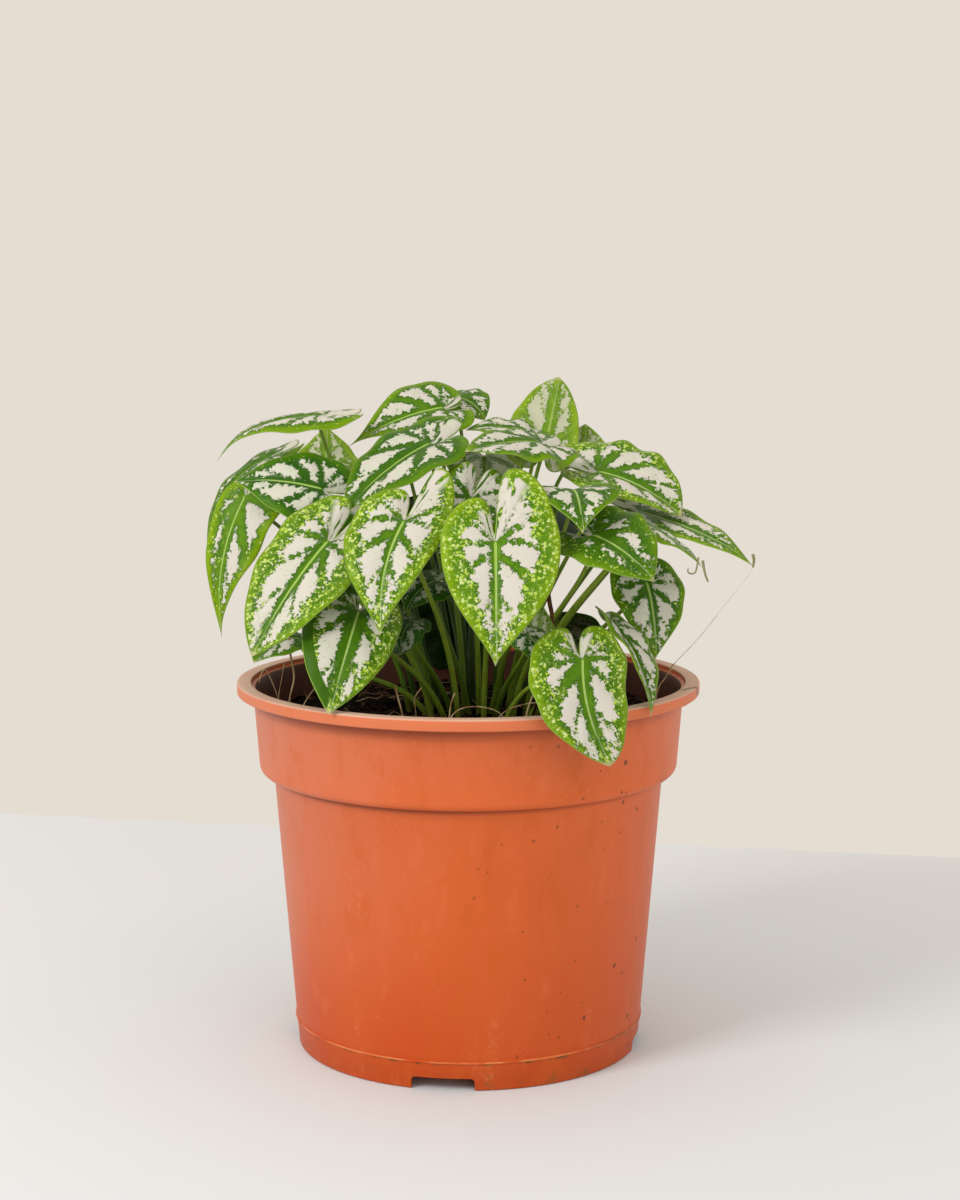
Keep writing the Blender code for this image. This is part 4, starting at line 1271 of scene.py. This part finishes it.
def pot_dirt(s, at, body):
    """Dirt below the worn ridge, round the foot, and crusted on the ridge and collar at the right."""
    tone = PotColour
    off_ridge = abs(at.z - RIDGE_HEIGHT)
    below = at.z.step(RIDGE_HEIGHT - 1.8, RIDGE_HEIGHT - 0.7) * at.z.step(RIDGE_HEIGHT, RIDGE_HEIGHT - 0.4)
    body = body.tint(tone.ridge_dirt, below * s.noise(at.place, 0.3, 3.0).step(0.02, 0.14) * 0.8)
    worn = off_ridge.step(0.45, 0.2) * s.noise(at.place, 0.12, 3.0).step(-0.16, 0.1)
    body = body.tint(tone.ridge, worn * 0.55)
    foot_dirt = at.z.step(9.0, 2.0) * s.noise(at.place, 0.22, 3.0).step(0.09, 0.2)
    body = body.tint(tone.foot_dirt, foot_dirt * 0.6)
    front = at.y.step(0.0, -10.0)
    on_ridge = off_ridge.step(1.2, 0.4) * at.x.step(38.0, 56.0) * front
    from_corner = abs(at.x - COLLAR_DIRT[0]) + abs(at.z - COLLAR_DIRT[1])
    on_corner = from_corner.step(4.5, 0.5) * front * 0.7
    crust = (on_ridge + on_corner) * s.noise(at.place, 0.6, 3.0).step(-0.14, 0.16)
    return body.tint(tone.crust, crust * 0.7)


def pot_lip(at, body):
    """A paler lip with a dusty top and a crack across it at the right."""
    face = at.z.step(LIP_LINE, LIP_LINE + 0.5) * at.z.step(POT_HEIGHT - 0.1, POT_HEIGHT - 0.8)
    body = body.tint(PotColour.lip, face * 0.5)
    at.top = at.z.step(POT_HEIGHT - 0.7, POT_HEIGHT - 0.1)
    body = body.tint(PotColour.lip_top, at.top * (at.cloudy * 0.8 + 0.85))
    x, y = at.x - CRACK[0], at.y - CRACK[1]
    along = x * CRACK_WAY[0] + y * CRACK_WAY[1]
    off = x * CRACK_WAY[1] + y * -CRACK_WAY[0] + at.cloudy * 2.0
    crack = abs(off).step(1.3, 0.5) * abs(along).step(7.0, 5.5) * at.z.step(LIP_LINE, LIP_LINE + 2.0)
    return body.tint(PotColour.crack, crack * 0.8)


def pot_inside(s, at, body):
    """The stained inner wall above the soil, with its step."""
    tone = PotColour
    outer_wall = (at.z - COLLAR_FOOT_HEIGHT) * COLLAR_SLOPE + COLLAR_FOOT_RADIUS
    within = (s.distance(at.x, at.y) - outer_wall).step(-0.6, -1.0)
    within = within * at.z.step(104.0, 106.0) * at.z.step(POT_HEIGHT - 0.2, POT_HEIGHT - 0.5)
    stain = s.mix(s.noise(s.place((1.0, 1.0, 0.3)), 0.2, 3.0) + 0.5, tone.stain, tone.stain_dark)
    stain = stain.tint(tone.inner_step, at.z.step(LIP_LINE + 1.5, POT_HEIGHT - STEP_DEPTH))
    return body.tint(stain, within)


def pot_look():
    """Terracotta-coloured plastic with a painted sheen on the left and at the top, scratches, dust, painted
    shade under the lip and the collar, and flecks of algae.
    """
    s = Shader("terracotta plastic fine", 0.42, shine=0.3)
    at = SimpleNamespace(place=s.place())
    at.x, at.y, at.z = s.split(at.place)
    at.cloudy = s.noise(s.place((1.0, 1.0, 0.5)), 0.06, 4.0, 0.6)
    body = pot_plastic(s, at)
    body = pot_wear(s, at, body)
    # painted shade under the lip and the collar
    body = pot_painted_shade(at, body)
    body = pot_dirt(s, at, body)
    body = pot_lip(at, body)
    body = pot_inside(s, at, body)
    grain = s.noise(at.place, 1.3, 3.0)
    s.bump(at.cloudy * 0.5 + grain * 0.06 + at.scuff * -0.3, 0.3, 0.3)
    return s.finish(body, at.dust * 0.15 + 0.42 + at.top * 0.15 + at.cloudy * 0.12)


def wall_radius(height):
    """The pot's inner radius at a height above the collar's foot."""
    share = (height - COLLAR_FOOT_HEIGHT - COLLAR_ROUND) / (LIP_LINE - COLLAR_FOOT_HEIGHT - COLLAR_ROUND)
    return COLLAR_FOOT_RADIUS - WALL + (COLLAR_TOP_RADIUS - COLLAR_FOOT_RADIUS) * share


def make_soil():
    """The filling: crumbly on top, plain where the pot hides it."""
    bottom = FLOOR_TOP + SOIL_GAP
    shoulder = COLLAR_FOOT_HEIGHT + COLLAR_ROUND
    edge = wall_radius(SOIL_EDGE_HEIGHT) - SOIL_GAP
    rings = [
        (BODY_FOOT_RADIUS - WALL - SOIL_GAP, bottom),
        (BODY_TOP_RADIUS - WALL - SOIL_GAP, COLLAR_FOOT_HEIGHT + SOIL_GAP),
        (wall_radius(shoulder) - SOIL_GAP, shoulder),
    ]
    rings += [(edge * ring / SOIL_RINGS, None) for ring in range(SOIL_RINGS, 0, -1)]
    vertices = [(0.0, 0.0, bottom)]
    for radius, height in rings:
        for i in range(SOIL_SIDES):
            angle = TURN * i / SOIL_SIDES
            x, y = radius * math.cos(angle), radius * math.sin(angle)
            vertices.append((x, y, soil_surface(x, y) if height is None else height))
    vertices.append((0.0, 0.0, soil_surface(0, 0)))
    neighbours = [(i, (i + 1) % SOIL_SIDES) for i in range(SOIL_SIDES)]
    last = 1 + (len(rings) - 1) * SOIL_SIDES
    faces = [(0, 1 + there, 1 + here) for here, there in neighbours]
    for start in range(1, last, SOIL_SIDES):
        faces += ring_faces(start, start + SOIL_SIDES, SOIL_SIDES)
    faces += [(last + here, last + there, len(vertices) - 1) for here, there in neighbours]
    soil = add_object("soil_fine", vertices, faces, soil_look())
    outward(soil)
    carry(soil, "soil", "soil")


def soil_look():
    """Nearly black potting mix with paler grit."""
    s = Shader("potting soil fine", 0.95, shine=0.05)
    place = s.place()
    crumbs = s.noise(place, 0.55, 4.0, 0.65)
    grit = s.noise(place, 2.2, 2.0)
    colour = s.mix(crumbs.step(-0.2, 0.3), (10, 8, 6), (34, 24, 18)).tint((62, 44, 32), grit.step(0.16, 0.3))
    s.bump(crumbs + grit * 0.4, 0.8, 0.8)
    return s.finish(colour)


def crumb_look():
    """Dark clods and browner bits of bark."""
    s = Shader("soil crumbs", 0.9, shine=0.05)
    place = s.place()
    colour = s.mix(s.noise(place, 0.16, 2.0).step(-0.15, 0.25), (12, 9, 8), (56, 36, 24))
    s.bump(s.noise(place, 1.5, 3.0), 0.6, 0.4)
    return s.finish(colour)


def strand_look(name, colours):
    """A dry fibre that changes between two colours along its length."""
    s = Shader(name, 0.7, shine=0.15)
    place = s.place()
    colour = s.mix(s.noise(place, 0.25, 2.0).step(-0.15, 0.2), *colours)
    s.bump(s.noise(place, 2.0, 2.0), 0.4, 0.1)
    return s.finish(colour)


def random_spot(draw, spread):
    """A point on the soil, within a share of its radius."""
    reach = SOIL_RADIUS * spread * math.sqrt(draw.uniform())
    angle = draw.uniform(0, TURN)
    return reach * math.cos(angle), reach * math.sin(angle)


def make_crumbs(draw):
    """Bits of bark and clods scattered on the soil."""
    work = bmesh.new()
    for _ in range(CRUMBS):
        x, y = random_spot(draw, CRUMB_SPREAD)
        size = draw.uniform(*CRUMB_SIZES)
        stretch = [draw.uniform(*limits) for limits in CRUMB_STRETCH]
        centre = Vector((x, y, soil_surface(x, y) + CRUMB_LIFT))
        for vertex in bmesh.ops.create_icosphere(work, subdivisions=1, radius=size)["verts"]:
            shift = 1 + CRUMB_ROUGH * noise.noise(vertex.co * CRUMB_GRAIN + centre)
            vertex.co = Vector([c * k * shift for c, k in zip(vertex.co, stretch)]) + centre
    for vertex in work.verts:
        vertex.co *= MM
    mesh = bpy.data.meshes.new("soil_crumbs")
    work.to_mesh(mesh)
    work.free()
    mesh.materials.append(crumb_look())
    carry(link("soil_crumbs", mesh), "soil")


def fibre_paths(draw, count, lengths, radii, lifts):
    """Fibres that lie and arch over the soil at random."""
    paths = []
    for _ in range(count):
        x, y = random_spot(draw, FIBRE_SPREAD)
        heading, turn = draw.uniform(0, TURN), draw.uniform(-FIBRE_TURN, FIBRE_TURN)
        length, arch = draw.uniform(*lengths), draw.uniform(*lifts)
        steps = max(6, int(length / FIBRE_STEP))
        points = []
        for i in range(steps + 1):
            share = i / steps
            points.append((x, y, soil_surface(x, y) - FIBRE_SUNK + 4 * arch * share * (1 - share)))
            x += math.cos(heading) * length / steps
            y += math.sin(heading) * length / steps
            if math.hypot(x, y) > SOIL_RADIUS - FIBRE_TO_WALL:
                heading = math.atan2(-y, -x)
            heading += turn + draw.uniform(-FIBRE_WANDER, FIBRE_WANDER)
        radius = draw.uniform(*radii)
        paths.append((np.array(points), radius * (1 - FIBRE_TAPER * np.linspace(0, 1, len(points)))))
    return paths


def rounded_paths(lines, taper):
    """Paths with rounded bends through given points, each thinner towards its end."""
    paths = []
    for radius, *points in lines:
        line = smooth_line(points, STRAND_STEPS)
        paths.append((line, radius * (1 - taper * np.linspace(0, 1, len(line)))))
    return paths


def add_strands(name, paths, sides, material, slot):
    """One piece of many thin tubes, each given as points and radii."""
    vertices, faces = [], []
    for points, radii in paths:
        more, more_faces = tube(points, radii, sides, len(vertices))
        vertices += more
        faces += more_faces
    piece = add_object(name, vertices, faces, material)
    outward(piece)
    carry(piece, slot)


def make_litter():
    """Fibres, roots and crumbs on the soil, all at random places."""
    draw = np.random.default_rng(SEED)
    for name, material, colours, *limits in FIBRES:
        paths = fibre_paths(draw, *limits)
        add_strands(name, paths, FIBRE_SIDES, strand_look(material, colours), "soil")
    make_crumbs(draw)


def make_strands():
    """Dry roots, a brown leaf base, a long hair and the tails of two leaf tips."""
    for name, slot, material, colours, sides, taper, lines in STRANDS:
        add_strands(name, rounded_paths(lines, taper), sides, strand_look(material, colours), slot)


def make_leaves():
    blade, stalk = blade_look(), stalk_look()
    for index, leaf in enumerate(LEAVES):
        make_leaf(index, leaf, blade, stalk)


def make_stage():
    """A pale table that ends behind the pot, in front of the plain wall of the world's colour."""
    left, right = TABLE_BACK
    corners = [(left[0], TABLE_FRONT), (right[0], TABLE_FRONT), right, left]
    table = add_object("table", [(x, y, -TABLE_DROP) for x, y in corners], [(0, 1, 2, 3)], table_look())


def table_look():
    """Pale and even, with painted shade near the camera against the front light's pool, and a bluer tint
    beside the pot that cancels the pot's red bounce light.
    """
    s = Shader("pale table", 0.75)
    place = s.place()
    x, y, _ = s.split(place)
    colour = s.mix(s.noise(place, 0.004, 1.0).step(-0.3, 0.3), TABLE_COLOUR, TABLE_COLOUR_WORN)
    # painted shade near the camera
    colour = colour.tint(TABLE_COLOUR_NEAR, y.step(*TABLE_NEAR))
    # painted light: bluer beside the pot against its red bounce light
    colour = colour.tint(TABLE_COLOUR_BESIDE, s.distance(x, y).step(*TABLE_BESIDE))
    return s.finish(colour)


def make_lights():
    """Soft studio light from the left and the front, and light from all round in the wall's colour."""
    world = bpy.data.worlds.new("pale wall")
    world.use_nodes = True
    background = world.node_tree.nodes["Background"].inputs
    background["Color"].default_value = (*linear(WALL_COLOUR), 1.0)
    background["Strength"].default_value = AMBIENT
    bpy.context.scene.world = world
    for name, place, size, power, colour in LIGHTS:
        data = bpy.data.lights.new(name, "AREA")
        data.size = size
        data.energy = power
        data.color = colour
        lamp = link(name, data)
        lamp.location = place
        aim = Vector(LIGHT_TARGET) - Vector(place)
        lamp.rotation_euler = aim.to_track_quat("-Z", "Y").to_euler()


def make_camera():
    data = bpy.data.cameras.new("camera")
    data.lens = FOCAL_LENGTH
    data.sensor_width = SENSOR
    data.sensor_height = SENSOR
    data.sensor_fit = "AUTO"
    data.clip_end = CAMERA_REACH * MM
    camera = link("camera", data)
    camera.location = [c * MM for c in CAMERA_PLACE]
    camera.rotation_euler = (math.radians(90 - CAMERA_DOWN), 0, 0)
    bpy.context.scene.camera = camera


def main():
    make_camera()
    make_stage()
    make_lights()
    bpy.context.scene.view_settings.view_transform = "Standard"
    make_pot()
    make_soil()
    make_litter()
    make_leaves()
    make_strands()


main()
